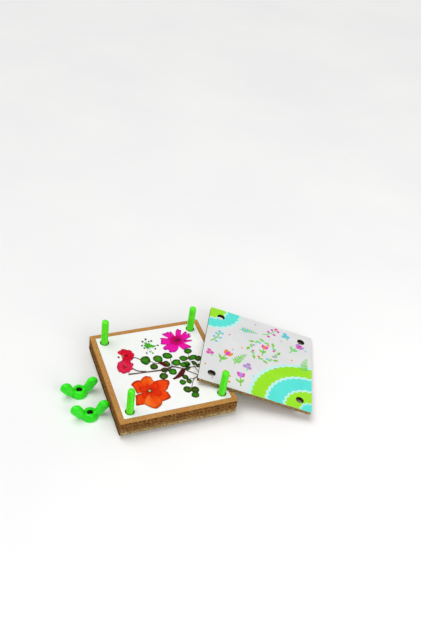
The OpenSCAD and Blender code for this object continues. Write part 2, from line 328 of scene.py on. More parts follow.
def petal_look(name, heart, middle, rim, edge, veins, vein, vein_share=0.5, patch=None, side_highlight=None):
    """A dried petal. 'along' runs from its foot to its tip, 'across' from edge to edge and 'hue'
    differs from petal to petal. The last colour, if given, is a painted highlight down one side."""
    look = Look(
        name,
        Specular_IOR_Level=0.10,
        Subsurface_Weight=0.10,
        Subsurface_Radius=(1.0, 0.4, 0.4),
        Subsurface_Scale=0.5 * MM,
    )
    along, across, hue = map(look.read, PETAL_VALUES)
    waver = look.noise(2.2, detail=4.0, rough=0.65)
    shift = look.plus(along, look.range(waver, -0.16, 0.16))
    colour = look.ramp(shift, (0.10, heart), (0.42, middle), (0.80, rim), (0.97, edge))
    lines = look.plus(look.times(across, veins), look.range(waver, -0.8, 0.8))
    lines = look.work("ABSOLUTE", look.work("SINE", lines))
    near = look.range(lines, 1.0, 0.0, (0.0, 0.55))
    colour = look.mix(look.times(near, vein_share), colour, vein)
    if patch:
        colour = look.cover(colour, patch, look.noise(4.5, detail=2.0), 0.0, 0.75, (0.50, 0.68))
    if side_highlight:
        # Painted highlight: one side of the petal is paler, as if lit
        lit = look.plus(across, look.range(waver, -0.3, 0.3))
        colour = look.cover(colour, side_highlight, lit, 0.5, 0.0, (-0.60, 0.10))
    colour = look.cover(colour, middle, hue, 0.0, 0.30)
    brink = look.work("MAXIMUM", look.work("ABSOLUTE", across), along)
    brink = look.range(look.plus(brink, look.range(waver, -0.02, 0.02)), 0.0, 0.85, (0.915, 0.98))
    colour = look.mix(look.times(brink, look.range(hue, 1.0, 0.0, (0.85, 0.95))), colour, edge)
    look.paint(colour)
    look.gloss(look.range(waver, 0.55, 0.80))
    look.bump(lines, 0.05, 0.8)
    look.bump(look.noise(0.4, detail=4.0), 0.03)
    return look.material


def leaf_look(name, centre, body, rim, patch):
    """A dried leaf with a midrib and side veins in its centre's colour."""
    look = Look(name, Specular_IOR_Level=0.12)
    along, across, hue = map(look.read, PETAL_VALUES)
    off = look.work("ABSOLUTE", across)
    blotch = look.noise(1.6, detail=4.0, rough=0.65)
    away = look.work("MAXIMUM", off, look.work("ABSOLUTE", along))
    away = look.plus(away, look.range(blotch, -0.30, 0.30))
    colour = look.ramp(away, (0.25, centre), (0.60, body), (0.92, rim))
    colour = look.cover(colour, patch, look.noise(3.2, detail=2.0), 0.0, 0.7, (0.50, 0.66))
    colour = look.cover(colour, rim, hue, 0.0, 0.75)
    slant = look.work("SUBTRACT", look.times(along, 11.0), look.times(off, 5.0))
    side = look.range(look.work("ABSOLUTE", look.work("SINE", slant)), 0.5, 0.0, (0.0, 0.22))
    veins = look.work("MAXIMUM", look.range(off, 0.6, 0.0, (0.0, 0.09)), side)
    look.paint(look.mix(veins, colour, centre))
    look.gloss(look.range(blotch, 0.50, 0.75))
    look.bump(veins, 0.08)
    look.bump(look.noise(0.35, detail=4.0), 0.04)
    return look.material


def plain_bit_look(name, light, dark, size=0.8, rough=(0.6, 0.85)):
    """A small dry piece such as a stem, pod or anther, with a streaky tone."""
    look = Look(name, Specular_IOR_Level=0.2)
    streaks = look.noise(size, detail=4.0, rough=0.65)
    look.paint(look.ramp(streaks, (0.30, dark), (0.70, light)))
    look.gloss(look.range(streaks, *rough))
    look.bump(streaks, 0.05)
    return look.material


DARK_TEARS = (58, 33, 12), (206, 156, 92)
PALE_TEARS = (98, 72, 40), (228, 206, 160)
KRAFT = kraft_look("kraft_face", (206, 152, 84), (176, 122, 60), ribbed=True)
KRAFT_EDGE = kraft_look("kraft_edge", (146, 102, 52), (98, 64, 30), torn=DARK_TEARS)
FLUTE = kraft_look("kraft_flute", (108, 70, 34), (70, 42, 18), torn=DARK_TEARS)
PALE_EDGE = kraft_look("pale_kraft_edge", (196, 168, 116), (146, 118, 76), torn=PALE_TEARS)
PALE_FLUTE = kraft_look("pale_kraft_flute", (176, 150, 102), (130, 106, 68), torn=PALE_TEARS)
BOARD_FACE = board_look("board_face", (186, 156, 112), (150, 118, 76))
BOARD_EDGE = board_look("board_edge", (190, 164, 112), (140, 112, 68), 0.45)
# Painted shade: the walls of the bolt holes are near black, the dark inside a narrow hole
HOLE_WALL_SHADE = board_look("hole_wall_shade", (62, 48, 32), (30, 22, 14))
BLOTTING = paper_look("blotting_paper", (253, 253, 252), (242, 243, 241))
PAPER_EDGE = paper_look("paper_edge", (214, 212, 206), (180, 176, 168))
# The last colour is painted shade in the thread's grooves
BOLT_PLASTIC = plastic_look("bolt_plastic", (82, 248, 4), (110, 254, 14), (136, 255, 36), 0.25, (48, 206, 8))
NUT_PLASTIC = plastic_look("nut_plastic", (26, 226, 2), (42, 238, 6), (70, 246, 20), 0.12)
# Painted shade: the dark green that the inside of each nut's bore is given
BORE_SHADE = plain_bit_look("green_bore_shade", (14, 96, 10), (6, 58, 6), 1.5, (0.4, 0.6))
# Painted shade: the print's ground is light grey, darker than the white paper, for the lid leaning away from
# the light
SHADED_GROUND = ink_look("print_ground_shaded", (230, 231, 231), 0.10)
LIME = ink_look("print_lime", (158, 236, 16))
TURQUOISE = ink_look("print_turquoise", (88, 234, 222))
PALE_MINT = ink_look("print_pale_mint", (198, 246, 240))
MINT = ink_look("print_mint", (132, 220, 120))
MAGENTA = ink_look("print_magenta", (232, 70, 190))
ORANGE = ink_look("print_orange", (246, 138, 42))
LILAC = ink_look("print_lilac", (192, 140, 222))
SKY = ink_look("print_sky", (96, 206, 232))
LEAF_INK = ink_look("print_leaf", (126, 206, 60))

# Meshes


def placed(name, data):
    """An object in the scene."""
    obj = bpy.data.objects.new(name, data)
    bpy.context.scene.collection.objects.link(obj)
    return obj


def piece(name, node, body, slot, verts, faces, tags, looks, values=None, sharp=35.0, join=0.0):
    """A piece that stands for a node, from points in millimetres. tags picks each face's look and
    values are the numbers that its looks read at each point."""
    mesh = bpy.data.meshes.new(name)
    mesh.from_pydata((np.asarray(verts, float) * MM).tolist(), [], [tuple(f) for f in faces])
    for look in looks:
        mesh.materials.append(look)
    mesh.polygons.foreach_set("material_index", np.asarray(tags, np.int32))
    for key, numbers in (values or {}).items():
        mesh.attributes.new(key, "FLOAT", "POINT").data.foreach_set("value", np.asarray(numbers, np.float32))
    if join:
        work = bmesh.new()
        work.from_mesh(mesh)
        bmesh.ops.remove_doubles(work, verts=work.verts, dist=join * MM)
        bmesh.ops.dissolve_degenerate(work, edges=work.edges, dist=join * MM)
        work.to_mesh(mesh)
        work.free()
    mesh.polygons.foreach_set("use_smooth", [True] * len(mesh.polygons))
    mesh.update()
    mesh.set_sharp_from_angle(angle=math.radians(sharp))
    obj = placed(name, mesh)
    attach(obj, body)
    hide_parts(node)


class Parts:
    """Points, faces, tags and values of several shells that make one piece."""

    def __init__(self, *names):
        self.verts, self.faces, self.tags = [], [], []
        self.values = {n: [] for n in names}

    def add(self, verts, faces, tag=0, **values):
        start = len(self.verts)
        self.verts.extend([tuple(v) for v in verts])
        self.faces.extend([tuple(i + start for i in f) for f in faces])
        self.tags.extend(tag if hasattr(tag, "__len__") else [tag] * len(faces))
        for n, kept in self.values.items():
            given = values.get(n, 0.0)
            kept.extend(given if hasattr(given, "__len__") else [given] * len(verts))

    def piece(self, name, node, body, slot, looks, **more):
        piece(name, node, body, slot, self.verts, self.faces, self.tags, looks, self.values, **more)


def turned(x, y, angle):
    """Places turned about the origin by an angle in degrees."""
    a = math.radians(angle)
    return x * math.cos(a) - y * math.sin(a), x * math.sin(a) + y * math.cos(a)


def spot(x, y, angle, r):
    """The place at an angle in degrees and a distance from x, y."""
    a = math.radians(angle)
    return x + r * math.cos(a), y + r * math.sin(a)


def circle(x, y, r, n=48):
    return [spot(x, y, 360 * k / n, r) for k in range(n)]


def rounded_square(side, corner, n=6):
    at = side / 2 - corner
    points = []
    for quarter in range(4):
        x, y = (at if quarter in (0, 3) else -at), (at if quarter in (0, 1) else -at)
        points += [spot(x, y, 90 * (quarter + k / n), corner) for k in range(n + 1)]
    return points


def bolt_holes(grow=0.0):
    return [circle(x, y, HOLE_R + grow) for x in (-HOLE_AT, HOLE_AT) for y in (-HOLE_AT, HOLE_AT)]


def partition(outline, cuts=(), paints=(), lines=()):
    """Triangles inside an outline and outside the cuts, each tagged with the last paint that
    covers it, counted from 1."""
    points, faces, edges = [], [], []
    for polygon in (outline, *paints, *cuts):
        faces.append(list(range(len(points), len(points) + len(polygon))))
        points += [Vector(p) for p in polygon]
    for a, b in lines:
        edges.append((len(points), len(points) + 1))
        points += [Vector(a), Vector(b)]
    made = delaunay_2d_cdt(points, edges, faces, 1, 1e-5)
    kept = [(f, max(over)) for f, over in zip(made[2], made[5]) if 0 in over and max(over) <= len(paints)]
    used = sorted({i for f, _ in kept for i in f})
    place = {old: new for new, old in enumerate(used)}
    triangles = [tuple(place[i] for i in f) for f, _ in kept]
    return [tuple(made[0][i]) for i in used], triangles, [tag for _, tag in kept]


def right_of(a, b):
    """The unit vector to the right of the way from a to b."""
    x, y = b - a
    return np.array([y, -x]) / max(math.hypot(x, y), 1e-9)


def slab(flat, levels, side_tag=0, low_tag=0, hole_tag=None, lift=None):
    """A closed plate over a partition. levels are (height, inset) pairs from the top down, and
    lift adds to a point's height. hole_tag, if given, marks the walls of the bolt holes."""
    points, triangles, tags = flat
    edges = {(t[k], t[(k + 1) % 3]) for t in triangles for k in range(3)}
    rim = {a: b for a, b in edges if (b, a) not in edges}
    before = {b: a for a, b in rim.items()}
    xy = np.array(points)
    out = {}
    for i in rim:
        n1, n2 = right_of(xy[before[i]], xy[i]), right_of(xy[i], xy[rim[i]])
        out[i] = (n1 + n2) / max(1 + float(n1 @ n2), 0.4)

    def wall_tag(i):
        inside = np.abs(xy[i]).max() < HOLE_AT + HOLE_R + 1
        return hole_tag if inside and hole_tag is not None else side_tag

    def lifted(p, z):
        return p[0], p[1], z + (lift(*p) if lift else 0.0)

    verts = [lifted(p, levels[0][0]) for p in points]
    faces, marks = list(triangles), list(tags)
    above = {i: i for i in rim}
    for level, (z, inset) in enumerate(levels[1:], 2):
        ring = sorted(rim) if level < len(levels) else range(len(xy))
        here = {i: len(verts) + n for n, i in enumerate(ring)}
        verts += [lifted(xy[i] + out.get(i, 0.0) * (levels[0][1] - inset), z) for i in ring]
        for a, b in rim.items():
            faces.append((above[a], here[a], here[b], above[b]))
            marks.append(wall_tag(a))
        above = here
    faces += [tuple(above[i] for i in t[::-1]) for t in triangles]
    return verts, faces, marks + [low_tag] * len(triangles)


def moved(verts, dx=0.0, dy=0.0, dz=0.0):
    return [(x + dx, y + dy, z + dz) for x, y, z in verts]


def on_lid(verts):
    return [tuple(LID @ Vector(v)) for v in verts]


# Boards and sheets

# How far a cut edge is broken, on a board and on a sheet
SOFT = 0.25
THIN_SOFT = 0.05
# How far the fluted layers stop short of the liners' edges
FLUTE_INSET = 0.15
# Steps in a flute's curve from one ridge to the next
FLUTE_STEPS = 12


def board(node, body, place):
    """A drilled fibreboard with broken edges and dark cut sides."""
    flat = partition(rounded_square(BOARD - 2 * SOFT, CORNER - SOFT), bolt_holes(SOFT))
    levels = [(BOARD_T, SOFT), (BOARD_T - SOFT, 0), (SOFT, 0), (0, SOFT)]
    verts, faces, tags = slab(flat, levels, 1, 0, 2)
    looks = [BOARD_FACE, BOARD_EDGE, HOLE_WALL_SHADE]
    piece(node + "_sheet", node, body, "fibreboard", place(verts), faces, tags, looks)


board("base_board", "base", lambda v: moved(v, dz=BASE_Z))
board("lid_board", "lid", on_lid)


def flutes(z, phase, across):
    """One fluted layer. Its ridges run along Y, or along X when it lies across."""
    inner = HALF - FLUTE_INSET
    count = int(2 * inner / FLUTE_PITCH * FLUTE_STEPS)
    places = [-inner + 2 * inner * k / count for k in range(1, count)]
    lines = [((x, -inner), (x, inner)) for x in places]
    flat = partition(rounded_square(2 * inner, CORNER - FLUTE_INSET, 2), bolt_holes(0.1), (), lines)

    def lift(x, y):
        wander = math.sin(0.31 * x + phase) + 0.5 * math.sin(0.83 * x)
        swing = (LAYER - MEDIUM) / 2 * (0.78 + 0.22 * math.sin(0.47 * x + 3 * phase))
        return swing * math.sin(2 * math.pi * x / FLUTE_PITCH + phase + wander)

    verts, faces, _ = slab(flat, [(z + (LAYER + MEDIUM) / 2, 0), (z + (LAYER - MEDIUM) / 2, 0)], lift=lift)
    return [(-y, x, w) for x, y, w in verts] if across else verts, faces


def card(k):
    """A corrugated card. The lowest one's lower layer is of paler stock, as the stack's edge shows."""
    z = CARD_Z[k - 1]
    looks = [KRAFT, KRAFT_EDGE, FLUTE, HOLE_WALL_SHADE]
    liner_tags, flute_tags = (1, 1, 1), (2, 2)
    if k == 1:
        looks = [KRAFT, PALE_EDGE, PALE_FLUTE, HOLE_WALL_SHADE, KRAFT_EDGE, FLUTE]
        liner_tags, flute_tags = (1, 1, 4), (2, 5)
    parts = Parts()
    for layer in range(3):
        low = z + layer * (LINER + LAYER)
        top = low + LINER
        inset = 0.1 if layer == 1 else 0.0
        outline = rounded_square(BOARD - 2 * inset - 2 * THIN_SOFT, CORNER - THIN_SOFT)
        # Painted shade: the face is dark round each hole, in the hole walls' dark colour
        points, triangles, tags = partition(outline, bolt_holes(THIN_SOFT), bolt_holes(0.35))
        flat = (points, triangles, [3 if t else 0 for t in tags])
        levels = [(top, THIN_SOFT), (top - THIN_SOFT, 0), (low + THIN_SOFT, 0), (low, THIN_SOFT)]
        parts.add(*slab(flat, levels, liner_tags[layer], 0, 3))
    for layer in range(2):
        level = z + LINER + layer * (LINER + LAYER)
        parts.add(*flutes(level, 1.3 * k + 2.1 * layer, k == 1), flute_tags[layer])
    parts.piece(f"card_{k}_sheet", f"card_{k}", f"card_{k}", "corrugated_card", looks)


def blotter(node, z):
    flat = partition(rounded_square(BLOTTER - 2 * THIN_SOFT, BLOTTER_T - THIN_SOFT, 3), bolt_holes(0.25))
    levels = [(z + BLOTTER_T, THIN_SOFT), (z + BLOTTER_T - 0.06, 0), (z, 0)]
    verts, faces, tags = slab(flat, levels, 1, 0, 2)
    looks = [BLOTTING, PAPER_EDGE, HOLE_WALL_SHADE]
    piece(node + "_sheet", node, node, "blotting_paper", verts, faces, tags, looks)


for number in (1, 2, 3):
    card(number)
for name, z in zip(("1", "2", "3", "top"), BLOTTER_Z):
    blotter("blotter_" + name, z)

# Bolts and wing nuts


def bolt_end(z):
    """The bolt's radius at a height, rounded at its free end."""
    over = max(z - (BOLT_TOP - END_ROUND), 0.0)
    return BOLT_D / 2 - END_ROUND + math.sqrt(max(END_ROUND**2 - over**2, 0.0))


def threaded_shank(low):
    """A helical thread from a height up to the bolt's rounded end."""
    around, rows = 36, len(THREAD_FORM)
    column = rows * (int((BOLT_TOP - low) / THREAD) + 4)
    verts, faces, deep = [], [], []
    for i in range(around):
        for j in range(column):
            share, depth = THREAD_FORM[j % rows]
            z = low + THREAD * (j // rows - 2 + share + i / around)
            r = min(BOLT_D / 2 - THREAD_DEPTH * depth, bolt_end(min(z, BOLT_TOP)))
            past = max(low - z, z - BOLT_TOP, 0.0)
            r *= max(0.0, 1 - past / (0.5 * THREAD))
            verts.append((*spot(0, 0, 360 * i / around, r), min(max(z, low), BOLT_TOP)))
            deep.append(depth)
    # The last column meets the first one a turn further up
    for i in range(around):
        shift = rows if i == around - 1 else 0
        for j in range(column - 1 - shift):
            a, b = i * column + j, (i + 1) % around * column + j + shift
            faces.append((a, b, b + 1, a + 1))
    return verts, faces, deep


def hex_head():
    """A hexagon head with a chamfered outer face, a dimple in it and a small washer face."""
    around, soft, dimple = 96, 0.12, 0.45
    chamfer_r = HEAD_FLATS / 2 * 0.96
    verts, faces = [], []
    for k in range(around):
        angle = 360 * k / around
        corner = HEAD_FLATS / 2 / math.cos(math.radians(angle % 60 - 30))
        drop = max(0.0, corner - chamfer_r) * math.tan(math.radians(30))
        row = [(1.5, dimple), (2.0, 0.0), (chamfer_r, 0.0), (corner, drop), (corner, HEAD_H - soft)]
        row += [(corner - soft, HEAD_H), (BOLT_D / 2, HEAD_H)]
        verts += [(*spot(0, 0, angle, r), z) for r, z in row]
    n, low, high = len(row), len(verts), len(verts) + 1
    verts += [(0, 0, dimple), (0, 0, HEAD_H)]
    for k in range(around):
        a, b = k * n, (k + 1) % around * n
        faces += [(a + j, b + j, b + j + 1, a + j + 1) for j in range(n - 1)]
        faces += [(low, b, a), (high, a + n - 1, b + n - 1)]
    return verts, faces


shank, shank_faces, shank_deep = threaded_shank(HEAD_H)
head, head_faces = hex_head()
BOLT_CORNERS = (("front_left", -1, -1), ("back_left", -1, 1), ("back_right", 1, 1), ("front_right", 1, -1))
for name, x, y in BOLT_CORNERS:
    parts = Parts("deep")
    spin = rng.uniform(0, 360)
    spun = [(*turned(px, py, spin), pz) for px, py, pz in shank]
    parts.add(moved(spun, x * HOLE_AT, y * HOLE_AT), shank_faces, deep=shank_deep)
    parts.add(moved(head, x * HOLE_AT, y * HOLE_AT), head_faces)
    node = "bolt_" + name
    parts.piece(node + "_screw", node, node, "green_plastic", [BOLT_PLASTIC], join=0.004)


def soft_max(a, b, k):
    h = np.clip(0.5 + 0.5 * (a - b) / k, 0, 1)
    return b + (a - b) * h + k * h * (1 - h)


def taper(x, z, root, tip, root_r, tip_r):
    """Distance to the flat shape that wraps two discs."""
    way = np.subtract(tip, root)
    square, drop = way @ way, root_r - tip_r
    slant = square - drop * drop
    px, pz = x - root[0], z - root[1]
    along = px * way[0] + pz * way[1]
    beyond = along - square
    across = (px * square - way[0] * along) ** 2 + (pz * square - way[1] * along) ** 2
    low, high = along * along * square, beyond * beyond * square
    edge = np.sign(drop) * drop * drop * across
    past = np.sqrt(across + high) / square - tip_r
    short = np.sqrt(across + low) / square - root_r
    beside = (np.sqrt(across * slant / square) + along * drop) / square - root_r
    inner = np.where(np.sign(along) * slant * low < edge, short, beside)
    return np.where(np.sign(beyond) * slant * high > edge, past, inner)


# How much fuller a moulded wing is on each face than its flat plate
WING_SWELL = 0.5


def nut_field(x, y, z):
    """Signed distance, about, to the wing nut: below zero inside."""
    r = np.hypot(x, y)
    slope = np.array([COLLAR_H - COLLAR_H / 4, (COLLAR_D - COLLAR_TOP_D) / 2])
    slope /= np.hypot(*slope)
    collar = soft_max(r - COLLAR_D / 2, (r - COLLAR_D / 2) * slope[0] + (z - COLLAR_H / 4) * slope[1], 0.9)
    collar = soft_max(collar, z - COLLAR_H, 1.1)
    tip_r, edge = WING_W / 2, WING_T / 2 + WING_SWELL
    tip = (NUT_SPAN / 2 - tip_r, WING_H - tip_r)
    root = (1.09 * COLLAR_D / 2, 0.8 * COLLAR_H)
    flat = taper(np.abs(x), z, root, tip, tip_r * 0.87 - edge, tip_r - edge)
    wings = np.hypot(np.maximum(flat, 0), y) - edge
    body = soft_max(-soft_max(-collar, -wings, 1.3), -z, 0.5)
    # The way of a bolt above the collar
    body = soft_max(body, -np.maximum(r - NUT_MOUTH_D / 2, COLLAR_H - 0.65 - z), 0.3)
    mouth = (NUT_MOUTH_D - NUT_BORE_D) / 2
    turn = (z / THREAD - np.arctan2(y, x) / (2 * math.pi)) % 1.0
    groove = 0.42 * np.clip(1.6 - np.abs(turn - 0.5) * 5.2, 0, 1) * np.clip((COLLAR_H - z) / 0.3, 0, 1)
    bore = NUT_BORE_D / 2 + groove + np.clip(np.maximum(mouth - z, z - (COLLAR_H - mouth)), 0, mouth)
    return np.maximum(body, bore - r)


def surface_of(field, low, high, step):
    """Surface nets: one point per grid cell that the surface crosses, and a quad per grid edge."""
    counts = [math.ceil((b - a) / step) for a, b in zip(low, high)]
    axes = [a + step * np.arange(n + 1) for a, n in zip(low, counts)]
    value = field(*np.meshgrid(*axes, indexing="ij"))
    total, hits = np.zeros((*counts, 3)), np.zeros(counts)
    for axis in range(3):
        others = [a for a in range(3) if a != axis]
        for offsets in ((0, 0), (0, 1), (1, 0), (1, 1)):
            near = [slice(None)] * 3
            for a, offset in zip(others, offsets):
                near[a] = slice(offset, counts[a] + offset)
            far = list(near)
            near[axis], far[axis] = slice(0, counts[axis]), slice(1, counts[axis] + 1)
            v0, v1 = value[tuple(near)], value[tuple(far)]
            cross = (v0 < 0) != (v1 < 0)
            total[..., axis] += np.where(cross, v0 / np.where(cross, v0 - v1, 1), 0)
            for a, offset in zip(others, offsets):
                total[..., a] += np.where(cross, offset, 0)
            hits += cross
    cell = np.argwhere(hits > 0)
    number = -np.ones(counts, int)
    number[tuple(cell.T)] = np.arange(len(cell))
    points = np.array(low) + step * (cell + total[tuple(cell.T)] / hits[tuple(cell.T)][:, None])
    quads = []
    for axis in range(3):
        near = [slice(1, n) for n in counts]
        far = list(near)
        near[axis], far[axis] = slice(0, counts[axis]), slice(1, counts[axis] + 1)
        v0, v1 = value[tuple(near)] < 0, value[tuple(far)] < 0
        for change, order in ((v0 & ~v1, 1), (~v0 & v1, -1)):
            at = np.argwhere(change) + (np.arange(3) != axis)
            corners = []
            for b, c in ((0, 0), (1, 0), (1, 1), (0, 1)):
                shift = np.roll((0, b, c), axis)
                corners.append(number[tuple((at - shift).T)])
            quads.append(np.stack(corners, 1)[:, ::order])
    # Two steps down the slope bring the points onto the surface
    e = step * 0.25
    for _ in range(2):
        ways = [field(*(points + d).T) - field(*(points - d).T) for d in e * np.eye(3)]
        slope = np.stack(ways, 1) / (2 * e)
        size = np.maximum((slope**2).sum(1), 0.25)
        points = points - np.clip(field(*points.T) / size, -0.3 * step, 0.3 * step)[:, None] * slope
    return points, np.concatenate(quads)


NUT_STEP = 0.22
reach, side = NUT_SPAN / 2 + 0.5, COLLAR_D / 2 + 0.5
nut_points, nut_quads = surface_of(nut_field, (-reach, -side, -0.5), (reach, side, WING_H + 0.5), NUT_STEP)
nut_points[:, 2] = np.maximum(nut_points[:, 2], 0.0)
quad_middle = nut_points[nut_quads].mean(1)
in_bore = np.hypot(quad_middle[:, 0], quad_middle[:, 1]) < NUT_MOUTH_D / 2 - 0.05
# Painted shade: the bore's wall below its mouth takes the dark green of a shaded hole
nut_tags = np.where(in_bore & (quad_middle[:, 2] < 0.78 * COLLAR_H), 1, 0)
for node in ("wing_nut_left_front", "wing_nut_left_back", "wing_nut_spare_front", "wing_nut_spare_back"):
    low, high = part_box(node)
    middle = (low + high) / 2 / MM
    turn = NUT_BACK_TURN if node == "wing_nut_left_back" else 0.0
    if high.y - low.y > high.x - low.x:
        turn = 90.0
    x, y = turned(nut_points[:, 0], nut_points[:, 1], turn)
    points = np.stack([x + middle.x, y + middle.y, nut_points[:, 2]], 1)
    looks = [NUT_PLASTIC, BORE_SHADE]
    piece(node + "_moulding", node, node, "green_plastic", points, nut_quads, nut_tags, looks, sharp=50)

# The lid's print


def stroke(points, w0, w1=None):
    """A polygon around a run of points, w0 wide at its start and w1 at its end, with round ends."""
    p = np.array(points, float)
    way = np.gradient(p, axis=0)
    way /= np.maximum(np.hypot(way[:, 0], way[:, 1]), 1e-9)[:, None]
    out = np.stack([way[:, 1], -way[:, 0]], 1)
    w = np.linspace(w0, w0 if w1 is None else w1, len(p))[:, None] / 2
    end, start = [
        [p[k] + sign * w[k] * (out[k] * math.cos(a) + way[k] * math.sin(a)) for a in (0.8, 1.57, 2.34)]
        for k, sign in ((-1, 1), (0, -1))
    ]
    return [tuple(q) for q in (*(p + out * w), *end, *(p - out * w)[::-1], *start)]


def leafy(x, y, angle, length, width, n=9):
    """A pointed leaf from its foot at x, y."""
    upper = [(t * length, width / 2 * math.sin(math.pi * t**0.8)) for t in np.linspace(0, 1, n)]
    flat = [(u, -v) for u, v in upper] + upper[-2:0:-1]
    spun = [turned(u, v, angle) for u, v in flat]
    return [(x + u, y + v) for u, v in spun]


def bend(x, y, angle, length, curl, n=7):
    """Points along an arc that starts at x, y, and the heading of its end."""
    points = [(x, y)]
    for _ in range(n - 1):
        angle += curl / (n - 1)
        points.append(spot(*points[-1], angle, length / (n - 1)))
    return points, angle


def scallops(x, y, r, waves):
    """A circle with waves along its rim."""
    depth, n = 1.6, 160
    return [spot(x, y, 360 * k / n, r + depth * abs(math.sin(waves * math.pi * k / n))) for k in range(n)]


paints = []


def ink(look, polygon):
    paints.append((look, polygon))


def tulip(x, y, angle, size, cup, inner, green):
    path, end = bend(x, y, angle, size * 0.62, -14)
    ink(green, stroke(path, 1.25, 1.0))
    for side in (-1, 1):
        ink(green, leafy(*path[2], angle + side * 38, size * 0.38, size * 0.14))
    for side in (1, -1):
        ink(cup, leafy(*path[-1], end + side * 26, size * 0.44, size * 0.24))
    ink(inner, leafy(*path[-1], end, size * 0.40, size * 0.19))


def berries(x, y, angle, size, berry, green, count=6):
    path, _ = bend(x, y, angle, size, 50, 2 * count + 1)
    ink(green, stroke(path, 1.2, 0.8))
    for k in range(1, count):
        foot = path[2 * k]
        tip = spot(*foot, angle + 50 * k / count + (-60 if k % 2 else 60), size * 0.17)
        half_way = ((foot[0] + tip[0]) / 2, (foot[1] + tip[1]) / 2)
        ink(green, stroke([foot, half_way, tip], 0.8))
        ink(berry, circle(*tip, size * 0.078, 18))
    ink(berry, circle(*path[-1], size * 0.088, 18))


def fern(x, y, angle, size, green, tips):
    pairs = 6
    path, _ = bend(x, y, angle, size, -26, pairs + 3)
    ink(green, stroke(path, 1.1, 0.7))
    for k in range(1, pairs + 2):
        share = k / (pairs + 2)
        spread = size * 0.27 * (1 - 0.75 * share**1.6)
        look = tips if k % 2 else green
        for side in (-58, 58):
            ink(look, leafy(*path[k], angle - 26 * share + side, spread, spread * 0.38, 7))


def clover(x, y, angle, size, look, green):
    ink(green, stroke(bend(x, y, angle - 90, size * 0.62, 24)[0], 1.15))
    for k in range(3):
        ink(look, circle(*spot(x, y, angle + 90 + 120 * k, size * 0.27), size * 0.23, 20))
    ink(green, circle(x, y, size * 0.10, 14))


# Scalloped rings around two corners, from the outside in, each with a pale border
for side, look, r, waves, border in (
    (1, LIME, 52.5, 54, 3.0),
    (1, TURQUOISE, 38.0, 42, 2.5),
    (1, LIME, 22.5, 26, 2.0),
    (1, TURQUOISE, 8.2, 14, 1.4),
    (-1, TURQUOISE, 26.5, 30, 2.5),
    (-1, LIME, 13.6, 18, 2.0),
):
    for colour, out in ((PALE_MINT, r + border), (look, r)):
        ink(colour, scallops(side * HALF, -side * HALF, out, waves))
# A wreath of leaves and dots
WREATH, WREATH_R = (4.0, 10.0), 13.0
for k in range(16):
    angle = 360 * k / 16
    ink((LEAF_INK, MINT)[k % 2], leafy(*spot(*WREATH, angle, WREATH_R), angle + (62, 118)[k % 2], 6.0, 2.7))
for k in range(8):
    place = spot(*WREATH, 360 * (k + 0.5) / 8, WREATH_R - 2.6)
    ink((MAGENTA, ORANGE, SKY, LILAC)[k % 4], circle(*place, 1.25, 16))
tulip(WREATH[0] - 0.8, WREATH[1] - 6.5, 92, 15, MAGENTA, ORANGE, LEAF_INK)
tulip(-34, -22, 76, 19, ORANGE, MAGENTA, LEAF_INK)
tulip(29, 19, 64, 19, LILAC, MAGENTA, MINT)
tulip(-13, -44, 104, 17, MAGENTA, LILAC, LEAF_INK)
berries(-45, 2, 40, 18, SKY, LEAF_INK)
berries(2, 33, 20, 19, MAGENTA, MINT)
berries(-27, -47, 66, 16, ORANGE, MINT, 5)
fern(-20, 30, 20, 17, MINT, SKY)
fern(-21, -19, 74, 20, LEAF_INK, MINT)
fern(43, -2, 98, 20, MINT, LEAF_INK)
clover(24, 41, 12, 9, SKY, LEAF_INK)
clover(-9, -17, -14, 9, LILAC, MINT)
clover(-44, -13, 20, 8, MAGENTA, LEAF_INK)
for look, dots in (
    (ORANGE, ((-16, 5, 0.9), (31, 9, 0.9), (13, 46, 0.8), (-46, -30, 0.9))),
    (MAGENTA, ((-29, 18, 0.9), (16, -9, 0.8))),
    (SKY, ((-3, -27, 0.8), (44, 28, 0.9))),
    (LILAC, ((-24, -1, 0.8), (-38, -44, 0.8), (20, 31, 0.7), (-6, 44, 0.9))),
):
    for x, y, r in dots:
        ink(look, circle(x, y, r, 16))

inks = [SHADED_GROUND]
for look, _ in paints:
    if look not in inks:
        inks.append(look)
shapes = [shape for _, shape in paints]
points, triangles, tags = partition(rounded_square(BOARD, CORNER), bolt_holes(), shapes)
ink_of = [0] + [inks.index(look) for look, _ in paints]
flat = (points, triangles, [ink_of[t] for t in tags])
edge_tag = len(inks)
verts, faces, tags = slab(flat, [(BOARD_T + PRINT_T, 0), (BOARD_T, 0)], edge_tag, edge_tag, edge_tag + 1)
looks = inks + [PAPER_EDGE, HOLE_WALL_SHADE]
piece("lid_print_sheet", "lid_print", "lid", "printed_paper", on_lid(verts), faces, tags, looks)

# Pressed flowers. Heights are over REST, just clear of the paper.

PAPER_BODY = "blotter_top"
REST = FLOWER_Z + 0.02


def phases(count):
    return rng.uniform(0, FULL_TURN, count)


